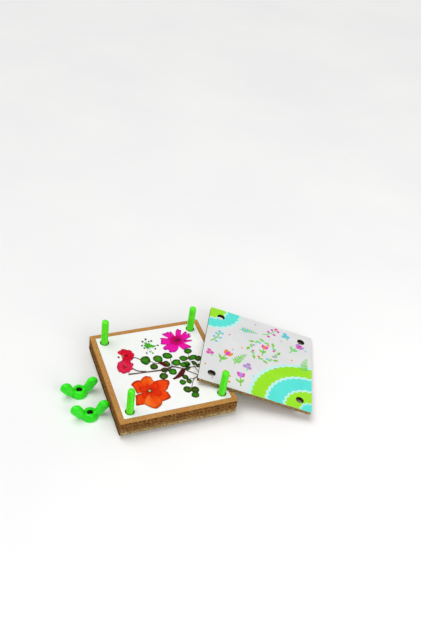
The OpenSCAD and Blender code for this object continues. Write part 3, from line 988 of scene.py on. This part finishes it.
def shell(parts, centre, x, y, z, u, v, tag, hue, thick=0.13):
    """A thin closed sheet of points round a centre, which never goes below the paper. u runs along
    it and v across it."""
    x, y, z, u, v = np.broadcast_arrays(x, y, z, u, v)
    top = np.stack([centre[0] + x, centre[1] + y, REST + np.maximum(z, thick)], 2).reshape(-1, 3)
    nu, nv = x.shape
    n = nu * nv
    faces = []
    for i in range(nu - 1):
        for j in range(nv - 1):
            a, b, c, d = i * nv + j, (i + 1) * nv + j, (i + 1) * nv + j + 1, i * nv + j + 1
            faces += [(a, b, c, d), (n + d, n + c, n + b, n + a)]
    rim = [i * nv for i in range(nu)] + [(nu - 1) * nv + j for j in range(1, nv)]
    rim += [i * nv + nv - 1 for i in range(nu - 2, -1, -1)] + list(range(nv - 2, 0, -1))
    faces += [(b, a, n + a, n + b) for a, b in zip(rim, rim[1:] + rim[:1])]
    verts = np.concatenate([top, top - (0, 0, thick)])
    parts.add(verts, faces, tag, along=np.tile(u.ravel(), 2), across=np.tile(v.ravel(), 2), hue=hue)


def smooth_run(points, per=8):
    """A Catmull-Rom curve through points, with any numbers that each one carries."""
    p = np.array(points, float)
    p = np.concatenate([[2 * p[0] - p[1]], p, [2 * p[-1] - p[-2]]])
    made = []
    for i in range(1, len(p) - 2):
        a, b, c, d = p[i - 1 : i + 3]
        for t in np.linspace(0, 1, per, endpoint=False):
            bent = (2 * a - 5 * b + 4 * c - d) * t**2 + (3 * b - a - 3 * c + d) * t**3
            made.append(0.5 * (2 * b + (c - a) * t + bent))
    return np.array(made + [p[-2]])


def lobe(parts, centre, rim, lay, tag, hue, folds=5.0, depth=0.12, ragged=0.12, nu=18, per=5, spread=0.075):
    """A petal from a flower's middle to the points of its rim, which run anticlockwise."""
    foot = 0.06
    edge = smooth_run(rim, per) - centre
    nv = len(edge)
    phase = phases(5)
    u, v = np.linspace(0, 1, nu)[:, None], np.linspace(-1, 1, nv)[None, :]
    rough = np.sin(11 * v + phase[0]) * 0.5 + np.sin(23 * v + phase[1]) * 0.3
    rough = rough + rng.uniform(-0.5, 0.5, (1, nv))
    out = 1 + np.where(np.abs(v) < 0.97, ragged * rough / np.hypot(*edge.T), 0)
    share = foot + (out - foot) * u
    # The sides swell a little, so that neighbours overlap
    swing = spread * np.sin(np.pi * u) * v
    x = (edge[:, 0] * np.cos(swing) - edge[:, 1] * np.sin(swing)) * share
    y = (edge[:, 0] * np.sin(swing) + edge[:, 1] * np.cos(swing)) * share
    z = lay + depth * u * (np.sin(folds * v + phase[2]) + 0.5 * np.sin(2.3 * folds * v + 3 * u + phase[3]))
    z = z + 0.06 * np.sin(6 * u + phase[4]) * (1 - v**2)
    shell(parts, centre, x, y, z, u, v, tag, hue, 0.12)


def blob(parts, place, lift, radii, tag, angle, rings, around, rough=0.0):
    """A rounded lump whose middle is this high over the paper."""
    verts = [(0, 0, 1.0)]
    for i in range(1, rings):
        t = math.pi * i / rings
        for k in range(around):
            s = 1 + rough * rng.uniform(-1, 1)
            verts.append((*spot(0, 0, 360 * k / around, s * math.sin(t)), math.cos(t)))
    last = len(verts)
    verts.append((0, 0, -1.0))
    faces = []
    for k in range(around):
        m = (k + 1) % around
        base = last - around
        faces += [(0, 1 + k, 1 + m), (base + k, last, base + m)]
        for row in range(1, base, around):
            faces.append((row + k, row + k + around, row + m + around, row + m))
    made = []
    for x, y, z in verts:
        px, py = turned(x * radii[0], y * radii[1], angle)
        made.append((place[0] + px, place[1] + py, REST + max(lift + z * radii[2], 0.0)))
    parts.add(made, faces, tag, along=0.5)


def seeds(parts, centre, count, lift, radii, tag):
    """Small lumps in a spiral."""
    for k in range(count):
        place = spot(*centre, math.degrees(k * SEED_TURN), 0.26 * math.sqrt(k))
        blob(parts, place, lift, radii, tag, 0, 4, 7)


def stem(parts, points, tag, around=8, flat=0.8, per=8):
    """A thin round stem through points (x, y, radius, height), on the paper or over what is there."""
    run = smooth_run(points, per)
    verts, faces = [], []
    n = len(run)
    for i, (x, y, r, lift) in enumerate(run):
        r = max(r, 0.05)
        side = right_of(run[max(i - 1, 0), :2], run[min(i + 1, n - 1), :2])
        for k in range(around):
            c, s = spot(0, 0, 360 * k / around, r)
            verts.append((x - side[0] * c, y - side[1] * c, REST + max(lift + flat * (r + s), 0.0)))
    for i in range(0, (n - 1) * around, around):
        for k in range(around):
            m = (k + 1) % around
            faces.append((i + k, i + m, i + around + m, i + around + k))
    faces.append(tuple(range(around))[::-1])
    faces.append(tuple((n - 1) * around + k for k in range(around)))
    parts.add(verts, faces, tag, along=0.5)


# Pink cosmos: the rims of its nine petals, and a ring of small ones round its eye
cosmos = Parts(*PETAL_VALUES)
COSMOS_AT, COSMOS_RING, COSMOS_EYE = (22.9, 27.4), (22.1, 27.7), (23.8, 27.5)
COSMOS_RIMS = [
    [(28.2, 31.9), (29.7, 36.3), (30.8, 38.9), (29.3, 39.9), (28.3, 41.4), (26.7, 40.4), (25.0, 37.9),
     (23.6, 33.8)],
    [(29.0, 29.3), (33.7, 33.3), (34.9, 35.2), (33.8, 36.6), (31.4, 35.3), (27.8, 32.0)],
    [(28.3, 26.4), (31.0, 26.9), (35.1, 28.6), (36.9, 30.3), (35.9, 31.4), (37.3, 32.9), (35.5, 33.5),
     (32.5, 32.0), (28.8, 30.6)],
    [(28.1, 23.1), (31.6, 23.5), (34.6, 23.8), (36.1, 24.5), (35.3, 25.5), (33.0, 25.7), (29.5, 25.5)],
    [(22.8, 18.5), (23.6, 17.4), (24.7, 15.4), (27.7, 16.0), (28.9, 16.7), (31.1, 16.0), (32.6, 17.3),
     (32.1, 18.6), (29.6, 20.7), (27.3, 22.4)],
    [(11.2, 18.5), (12.2, 17.5), (11.7, 15.9), (13.2, 14.4), (14.4, 14.9), (15.8, 14.0), (18.7, 15.6),
     (21.0, 18.0), (21.8, 19.4)],
    [(13.5, 24.3), (11.4, 23.8), (8.4, 22.5), (8.9, 21.6), (7.8, 21.0), (8.7, 18.8), (10.5, 18.5),
     (13.8, 19.6)],
    [(17.0, 32.2), (14.3, 32.2), (11.8, 33.2), (9.0, 33.1), (9.4, 31.2), (8.3, 29.0), (8.6, 27.9),
     (7.3, 26.8), (8.8, 25.6), (13.0, 24.4)],
    [(22.4, 33.2), (21.7, 37.4), (20.7, 39.6), (19.5, 38.6), (18.2, 39.5), (15.7, 38.6), (14.4, 38.4),
     (12.5, 37.8), (13.0, 36.2), (16.2, 32.6)],
]
for k, rim in enumerate(COSMOS_RIMS):
    hue = rng.uniform(0, 0.5)
    lobe(cosmos, COSMOS_AT, rim, 0.05 + 0.10 * (k % 3), 0, hue, folds=6.0, depth=0.07, per=6, spread=0.09)
for k in range(7):
    polar = ((-34, 4.4), (-20, 5.6), (0, 6.0), (20, 5.6), (34, 4.4))
    rim = [spot(*COSMOS_RING, 51 * k + a, r) for a, r in polar]
    lobe(cosmos, COSMOS_RING, rim, 0.40 + 0.05 * (k % 2), 2, rng.uniform(0, 0.6), nu=8, per=4)
seeds(cosmos, COSMOS_EYE, 48, 0.60, (0.22, 0.22, 0.20), 1)
looks = [
    petal_look("cosmos_petal", (172, 0, 92), (240, 10, 158), (244, 24, 176), (176, 24, 150),
               9.0, (206, 0, 132)),
    plain_bit_look("cosmos_eye", (178, 16, 96), (96, 8, 66), 0.6),
    petal_look("cosmos_heart", (150, 4, 74), (188, 0, 92), (206, 0, 108), (214, 0, 122),
               7.0, (160, 0, 84)),
]
cosmos.piece("pressed_cosmos_bloom", "pressed_cosmos", PAPER_BODY, "cosmos_petals", looks)

# Orange flower: heights, looks and rims of its six broad lobes, the lowest first in each overlap
orange = Parts(*PETAL_VALUES)
ORANGE_AT = (-17.9, -23.0)
ORANGE_RIMS = [
    (0.10, 0, [(-23.9, -23.8), (-25.8, -22.8), (-28.2, -23.0), (-28.7, -21.2), (-28.9, -18.4), (-29.6, -15.2),
               (-30.5, -12.8), (-29.5, -11.5), (-27.5, -10.0), (-24.0, -9.2), (-21.3, -10.1)]),
    (0.02, 0, [(-23.7, -24.9), (-26.4, -24.5), (-30.0, -24.3), (-30.7, -26.6), (-31.7, -30.6), (-32.6, -34.1),
               (-31.4, -35.2), (-29.7, -35.0), (-27.0, -35.2), (-24.9, -34.9)]),
    (0.12, 0, [(-5.5, -25.6), (-3.2, -24.4), (-1.5, -22.0), (0.5, -19.1), (0.9, -15.8), (-1.0, -14.1),
               (-4.5, -13.3), (-7.8, -13.2), (-11.3, -13.7)]),
    (0.26, 1, [(-10.7, -14.1), (-11.7, -12.4), (-12.2, -8.8), (-14.5, -6.9), (-16.7, -6.4), (-19.9, -8.2),
               (-21.9, -10.4)]),
    (0.22, 0, [(-11.6, -35.7), (-8.5, -35.4), (-4.0, -34.1), (-3.0, -32.7), (-3.2, -29.9), (-4.1, -27.2),
               (-5.9, -25.1)]),
    (0.36, 1, [(-26.2, -34.8), (-24.5, -36.9), (-21.6, -39.9), (-18.2, -41.8), (-15.6, -40.8), (-12.6, -38.6),
               (-10.9, -35.2)]),
]
for lay, tag, rim in ORANGE_RIMS:
    hue = rng.uniform(0, 0.3)
    lobe(orange, ORANGE_AT, rim, lay, tag, hue, folds=6.5, depth=0.13, ragged=0.10, nu=26, per=6)
# An inner ring of darker petals: heading, length and half its angle
for angle, length, half_angle in (
    (38, 11.0, 31), (92, 7.4, 30), (146, 9.4, 29), (214, 8.6, 27), (268, 6.6, 30), (326, 10.0, 32),
):
    steps = (-1, -0.7, -0.35, 0, 0.35, 0.7, 1)
    rim = [spot(*ORANGE_AT, angle + half_angle * t, length * (1 - 0.42 * abs(t) ** 1.5)) for t in steps]
    lobe(orange, ORANGE_AT, rim, 0.46, 4, rng.uniform(0, 0.5), depth=0.08, ragged=0.22, nu=16)
for k in range(60):
    place = spot(*ORANGE_AT, 6 * k, 1.15 + 1.2 * rng.random())
    blob(orange, place, 0.70, (0.42, 0.16, 0.16), 3, 6 * k + rng.uniform(-30, 30), 4, 6)
seeds(orange, ORANGE_AT, 16, 0.76, (0.26, 0.24, 0.20), 2)
looks = [
    petal_look("orange_petal", (214, 30, 0), (238, 58, 2), (250, 80, 4), (170, 46, 4),
               15.0, (206, 30, 0), 0.55, (214, 26, 0)),
    # Its last colour is a painted highlight down one side of each lobe
    petal_look("light_orange_petal", (218, 40, 0), (240, 70, 4), (248, 98, 14), (186, 64, 10),
               15.0, (232, 70, 10), 0.55, (240, 60, 4), (255, 138, 56)),
    plain_bit_look("dry_cream", (250, 232, 176), (226, 190, 120), 0.3),
    plain_bit_look("dry_centre", (146, 92, 18), (92, 54, 8), 0.5),
    petal_look("orange_heart", (206, 22, 0), (222, 36, 0), (234, 52, 0), (200, 38, 0),
               11.0, (182, 14, 0), 0.5, (236, 56, 4)),
]
orange.piece("pressed_orange_bloom", "pressed_orange_flower", PAPER_BODY, "orange_petals", looks)

# Two red flowers, each with a wide ring of ruffled petals and a small one over it. Their outlines
# are angles in degrees and distances.
red = Parts(*PETAL_VALUES)
UPPER_RED, LOWER_RED = (-25.5, 19.9), (-29.9, 7.7)
UPPER_OUTLINE = [
    (157, 4.4), (146, 7.4), (135, 8.2), (116, 8.0), (98, 8.4), (78, 7.4), (60, 7.1), (38, 7.3), (17, 6.9),
    (4, 7.2), (-9, 6.9), (-25, 6.9), (-41, 6.6), (-60, 7.2), (-77, 7.6), (-102, 8.0), (-127, 7.2),
    (-150, 4.8), (-175, 3.2),
]
LOWER_OUTLINE = [
    (109, 7.8), (138, 7.0), (168, 6.7), (-179, 6.9), (-167, 7.3), (-156, 7.2), (-146, 7.8), (-133, 7.6),
    (-120, 8.1), (-98, 7.3), (-76, 7.1), (-56, 6.1), (-45, 7.0), (-35, 7.3), (-22, 6.5), (-9, 6.5), (3, 7.6),
    (15, 7.9), (30, 7.6), (44, 7.8), (62, 7.2), (85, 7.1),
]


def ruffled(centre, outline, count, scale, lay, tag, turn=0.0, vary=0.0):
    """A ring of petals that together have this outline. The ring is turned by radians and its
    petals' lengths vary by a share."""
    angles, radii = zip(*outline)
    for k in range(count):
        long = scale * (1 + vary * rng.uniform(-1, 1))
        rim = []
        for t in np.linspace(-0.5, 0.5, 9):
            angle = angles[0] + 360 * (k + 0.5 + 1.16 * t) / count + math.degrees(turn)
            wave = 1 - 0.10 * (2 * abs(t)) ** 3 + 0.035 * math.cos(8 * math.pi * t)
            rim.append(spot(*centre, angle, np.interp(angle, angles, radii, period=360) * long * wave))
        level = lay + 0.07 * (k % 3)
        hue = 1.0 if vary else rng.uniform(0, 0.8)
        lobe(red, centre, rim, level, tag, hue, folds=7.0, depth=0.13, ragged=0.16, nu=12, per=3)


ruffled(LOWER_RED, LOWER_OUTLINE, 9, 1.0, 0.03, 1)
ruffled(LOWER_RED, LOWER_OUTLINE, 5, 0.66, 0.30, 1, 0.4, 0.28)
ruffled(UPPER_RED, UPPER_OUTLINE, 8, 1.0, 0.14, 0)
ruffled(UPPER_RED, UPPER_OUTLINE, 5, 0.64, 0.36, 0, 0.3, 0.28)
# Anthers, then darker bits: place, spread, count, look and height
for x, y, wide, tall, count, tag, lift in (
    (-28.5, 19.3, 1.1, 2.0, 30, 2, 0.62),
    (-29.1, 8.5, 0.5, 1.3, 12, 2, 0.62),
    (-29.6, 7.2, 1.3, 1.6, 24, 3, 0.50),
    (-25.9, 19.1, 1.5, 1.6, 24, 3, 0.50),
):
    for _ in range(count):
        a, r = rng.uniform(0, FULL_TURN), math.sqrt(rng.random())
        place = (x + wide * r * math.cos(a), y + tall * r * math.sin(a))
        blob(red, place, lift, (0.30, 0.16, 0.16), tag, rng.uniform(0, 180), 4, 6)
blob(red, (-32.1, 19.5), 0.22, (0.9, 1.2, 0.2), 3, 20, 5, 10, 0.1)
looks = [
    petal_look("red_petal", (158, 0, 22), (218, 0, 34), (234, 14, 54), (152, 0, 34),
               7.0, (176, 0, 26), patch=(238, 26, 62)),
    petal_look("pink_red_petal", (168, 0, 34), (226, 18, 66), (240, 60, 98), (184, 6, 56),
               7.0, (196, 0, 50), patch=(226, 10, 60)),
    plain_bit_look("dry_anthers", (214, 176, 112), (150, 96, 50), 0.4),
    plain_bit_look("dark_red_middle", (140, 0, 24), (86, 0, 18), 0.6),
]
red.piece("pressed_red_blooms", "pressed_red_flowers", PAPER_BODY, "red_petals", looks)

# Green umbel: a small star with dots round it
umbel = Parts(*PETAL_VALUES)
UMBEL_AT = (-3.8, 26.9)


def umbel_petal(angle, length, width):
    """A narrow petal that starts a little way out from the umbel's middle."""
    start = 0.18
    hue = rng.uniform(0, 0.5)
    phase = phases(4)
    u, v = np.linspace(0, 1, 9)[:, None], np.linspace(-1, 1, 7)[None, :]
    end = 1 - 0.10 * v**2 - 0.03 * np.sin(3 * v + phase[0])
    x = length * (start + (end - start) * u)
    half = width / 2 * np.maximum(np.sin(np.pi * u) ** 0.62, 0.3)
    y = half * v * (1 + 0.05 * np.sin(5 * u + phase[2])) + 0.04 * width * np.sin(2.6 * u + phase[3]) * u
    z = 0.08 + 0.05 * (np.sin(3.1 * v + phase[0]) * u + 0.5 * np.sin(7 * v + phase[1]) * u**2)
    z = z + 0.05 * np.cos(np.pi * v * 4) * (1 - u) + 0.10 * u * (1 - u)
    shell(umbel, UMBEL_AT, *turned(x, y, angle), z, u, v, 0, hue)


for angle, length, width in (
    (112, 4.6, 1.7), (99, 4.0, 1.4), (66, 3.4, 1.5), (42, 3.0, 1.4), (10, 3.4, 1.5), (-18, 6.0, 2.3),
    (-52, 2.8, 1.6), (-100, 3.0, 1.6), (-122, 3.8, 1.5), (154, 3.6, 1.6), (178, 3.0, 1.5), (-150, 2.6, 1.4),
):
    umbel_petal(angle, 1.12 * length, 1.1 * width)
blob(umbel, UMBEL_AT, 0.20, (1.0, 0.9, 0.24), 0, 20, 5, 12, 0.1)
# Each dot's heading, distance, size and look, on a thin ray
for angle, r, size, tag in (
    (89, 8.0, 1.0, 1), (119, 6.8, 1.0, 1), (49, 6.7, 0.95, 1), (67, 5.4, 0.75, 1), (166, 5.4, 0.8, 1),
    (-154, 4.4, 0.85, 1), (-9, 8.4, 0.9, 1), (-45, 7.0, 0.8, 1), (-93, 7.4, 0.75, 1), (-82, 9.4, 0.95, 0),
    (-115, 9.0, 0.8, 1),
):
    place = spot(*UMBEL_AT, angle, r)
    near = spot(*UMBEL_AT, angle, 0.3 * r)
    bow = [(a + b) / 2 + rng.uniform(-0.4, 0.4) for a, b in zip(place, UMBEL_AT)]
    stem(umbel, [(*near, 0.16, 0), (*bow, 0.13, 0), (*place, 0.12, 0)], 2, 6, 0.8, 5)
    blob(umbel, place, 0.22, (1.18 * size, 0.95 * size, 0.22), tag, rng.uniform(0, 180), 5, 9, 0.14)
looks = [
    leaf_look("umbel_leaf", (78, 214, 26), (40, 178, 14), (16, 124, 10), (120, 190, 20)),
    plain_bit_look("umbel_dot", (34, 112, 34), (10, 58, 24), 0.5),
    plain_bit_look("umbel_ray", (138, 202, 112), (96, 166, 76), 0.6),
]
umbel.piece("pressed_umbel_head", "pressed_umbel", PAPER_BODY, "umbel_green", looks)

# The sprig: leaves, stems and two pods
sprig = Parts(*PETAL_VALUES)


def leaf(x, y, angle, length, width, tag, lay, hue):
    """A leaf with blunt corners at its ends and a rim that curls up a little."""
    u, v = np.linspace(-1, 1, 19)[:, None], np.linspace(-1, 1, 13)[None, :]
    phase = phases(3)
    full = np.maximum(np.maximum(1 - np.abs(u) ** 2.1, 0.0) ** 0.56, 0.05)
    half = 1.1 * width / 2 * full * (1 - 0.10 * u) * (1 + 0.035 * np.sin(6 * u + phase[0]))
    px = length / 2 * (u + 0.04 * u**7)
    py = half * v + 0.02 * length * np.sin(2 * u + phase[1])
    z = lay + 0.08 * np.exp(-((v / 0.12) ** 2)) + 0.14 * v**4 + 0.04 * np.sin(9 * u - 4 * np.abs(v))
    z = z + 0.05 * np.sin(2 * u + 2 * v + phase[2])
    shell(sprig, (x, y), *turned(px, py, angle), z, u, v, tag, hue)


# Place, heading, length, width and look of each leaf
for row in (
    (-11.2, 10.8, 155, 8.4, 9.0, 0), (-0.3, 9.8, -56, 8.6, 7.0, 0), (8.8, 11.6, -36, 8.6, 6.4, 0),
    (-6.2, 2.1, -26, 6.6, 6.2, 1), (4.8, 2.6, -33, 7.0, 6.2, 1), (13.7, 2.4, 28, 7.8, 6.6, 0),
    (21.4, 5.5, -17, 7.4, 5.6, 0), (29.4, 5.0, 19, 8.2, 5.0, 0), (33.8, 2.4, -51, 5.4, 6.0, 1),
    (28.0, 12.9, -7, 7.0, 5.6, 0), (20.0, -1.5, -2, 8.2, 5.6, 0), (22.4, -1.2, 70, 5.6, 5.0, 0),
    (1.5, -3.6, -7, 6.8, 5.0, 1), (7.4, -7.2, -58, 7.0, 6.2, 0), (-1.6, -10.0, -8, 7.2, 6.6, 1),
    (20.9, -6.3, 21, 6.0, 3.4, 1), (28.5, -1.9, -57, 5.6, 3.6, 1), (31.2, -5.4, 42, 4.6, 3.6, 1),
    (15.8, -15.4, -46, 5.8, 4.4, 1), (11.8, -20.1, -13, 5.4, 5.3, 0), (17.2, -20.5, -79, 5.2, 4.2, 1),
    (12.9, -28.5, 33, 6.4, 6.5, 1), (19.0, -30.5, -39, 6.6, 6.2, 1), (17.4, -35.7, -68, 6.2, 6.0, 0),
):
    leaf(*row, 0.05 + 0.06 * rng.random(), rng.uniform(0, 0.5))
# Each stem is a run of places with its radius and its height over the paper
for points in (
    [(-29.4, -1.4, 0.6, 0), (-21.6, -2.0, 0.48, 0), (-12.3, -2.6, 0.5, 0), (-4.8, -3.2, 0.56, 0.1),
     (0.9, -3.6, 0.66, 0.2), (5.1, -2.9, 0.68, 0.2), (8.9, -1.9, 0.6, 0.2), (13.9, -4.2, 0.42, 0.2),
     (18.1, -6.4, 0.4, 0.2), (22.4, -5.7, 0.34, 0.2), (27.2, -6.0, 0.32, 0.1), (30.6, -5.6, 0.25, 0.1)],
    [(-24.0, 3.9, 0.46, 0), (-20.8, 0.5, 0.44, 0), (-14.0, -2.0, 0.44, 0.1)],
    [(-21.4, 16.0, 0.44, 0), (-18.5, 15.7, 0.34, 0), (-15.0, 12.4, 0.34, 0.05)],
    [(-8.6, 9.2, 0.34, 0.05), (-6.2, 7.4, 0.26, 0.05), (-4.6, 5.9, 0.26, 0.1), (-0.7, 4.4, 0.3, 0.15)],
    [(10.1, 8.4, 0.2, 0.1), (9.8, 4.6, 0.2, 0.05), (9.2, 1.4, 0.24, 0.2), (8.6, -1.5, 0.3, 0.2)],
    [(26.9, 10.6, 0.2, 0.1), (26.4, 6.8, 0.2, 0), (25.2, 4.3, 0.24, 0), (26.2, 1.6, 0.24, 0.1),
     (27.4, -5.6, 0.28, 0.1)],
    [(25.0, 5.6, 0.34, 0.1), (27.0, 4.6, 0.3, 0.1)],
    [(18.8, -8.3, 0.34, 0.1), (22.5, -11.5, 0.34, 0), (26.4, -15.3, 0.34, 0), (25.1, -17.4, 0.36, 0),
     (21.9, -19.0, 0.36, 0), (19.4, -23.0, 0.26, 0), (17.0, -27.6, 0.26, 0.1)],
    [(27.4, -6.6, 0.3, 0), (28.1, -9.8, 0.26, 0), (28.6, -12.3, 0.24, 0)],
    [(22.2, -18.5, 0.22, 0), (18.6, -17.7, 0.2, 0.1)],
    [(4.0, -6.0, 0.3, 0.1), (5.4, -4.6, 0.3, 0.2), (6.7, -3.4, 0.3, 0.2)],
    [(0.6, -7.2, 0.22, 0.1), (2.4, -5.4, 0.26, 0.1), (4.2, -3.6, 0.26, 0.2)],
    [(14.6, -28.0, 0.26, 0.1), (16.8, -27.6, 0.3, 0), (18.0, -28.8, 0.3, 0.1)],
):
    stem(sprig, points, 2)
# The two pods are thick flat stems
for around, flat, points in (
    (10, 0.27, [(-1.0, 6.2, 0.6, 0.14), (1.2, 4.1, 1.7, 0.14), (3.4, 1.5, 1.5, 0.2), (5.6, -0.9, 0.4, 0.24)]),
    (12, 0.20, [(17.8, -5.9, 1.1, 0.1), (16.1, -8.0, 1.9, 0.06), (13.6, -10.8, 2.2, 0.04),
                (10.6, -13.0, 1.8, 0.04), (7.8, -14.2, 1.2, 0.04), (5.0, -15.0, 0.8, 0.04)]),
):
    stem(sprig, points, 3, around, flat)
looks = [
    leaf_look("sprig_leaf", (58, 150, 10), (30, 112, 6), (6, 38, 6), (92, 132, 6)),
    leaf_look("sprig_dark_leaf", (64, 112, 12), (34, 78, 8), (6, 30, 4), (92, 108, 8)),
    plain_bit_look("dry_stem", (108, 70, 56), (46, 24, 21)),
    plain_bit_look("dry_pod", (104, 2, 10), (54, 0, 6), 1.2, (0.55, 0.8)),
]
sprig.piece("pressed_sprig_leaves", "pressed_leaf_sprig", PAPER_BODY, "leaves", looks)

# Floor, light and camera, placed in metres

FLOOR_HALF = 4.0
floor_look = Look("floor")
cloud = floor_look.noise(160.0, detail=3.0)
floor_look.paint(floor_look.ramp(cloud, (0.3, (249, 249, 250)), (0.7, (254, 254, 254))))
floor_look.gloss(floor_look.range(cloud, 0.85, 0.95))
mesh = bpy.data.meshes.new("floor")
corners = [(x * FLOOR_HALF, y * FLOOR_HALF, 0) for x, y in ((-1, -1), (1, -1), (1, 1), (-1, 1))]
mesh.from_pydata(corners, [], [(0, 1, 2, 3)])
mesh.materials.append(floor_look.material)
floor = placed("floor", mesh)


def light(name, kind, way, energy, colour, place=(0, 0, 0), **settings):
    """A light that shines along a way."""
    data = bpy.data.lights.new(name, kind)
    data.energy, data.color = energy, colour
    for key, value in settings.items():
        setattr(data, key, value)
    made = placed(name, data)
    made.location = place
    made.rotation_euler = Vector(way).to_track_quat("-Z", "Y").to_euler()


# A very wide sun stands for the studio's soft box, so the floor stays evenly lit
light("key", "SUN", (0.26, -0.18, -1.0), 1.58, (1.0, 0.995, 0.98), angle=math.radians(44))
FILL_AT, MIDDLE = Vector((0.20, -0.90, 0.60)), Vector((0.03, 0.0, 0.01))
light("fill", "AREA", MIDDLE - FILL_AT, 4.4, (0.98, 0.99, 1.0), FILL_AT, shape="DISK", size=0.9)
world = bpy.data.worlds.new("studio")
world.use_nodes = True
world.node_tree.nodes["Background"].inputs["Color"].default_value = (1.0, 1.0, 1.0, 1.0)
world.node_tree.nodes["Background"].inputs["Strength"].default_value = 0.36
bpy.context.scene.world = world
bpy.context.scene.view_settings.view_transform = "Standard"

# Fitted to the photograph's corners, holes and bolts, with no shift
IMAGE_H = 631
FOCAL_PIXELS = 694.78
SENSOR = 36.0
camera_data = bpy.data.cameras.new("camera")
camera_data.sensor_fit = "VERTICAL"
camera_data.sensor_height = SENSOR
camera_data.lens = SENSOR * FOCAL_PIXELS / IMAGE_H
camera_data.clip_start, camera_data.clip_end = 0.05, 20.0
camera = placed("camera", camera_data)
camera.location = (-0.159791, -0.370972, 0.44549)
camera.rotation_euler = tuple(math.radians(a) for a in (47.7534, -7.7476, -20.9204))
bpy.context.scene.camera = camera
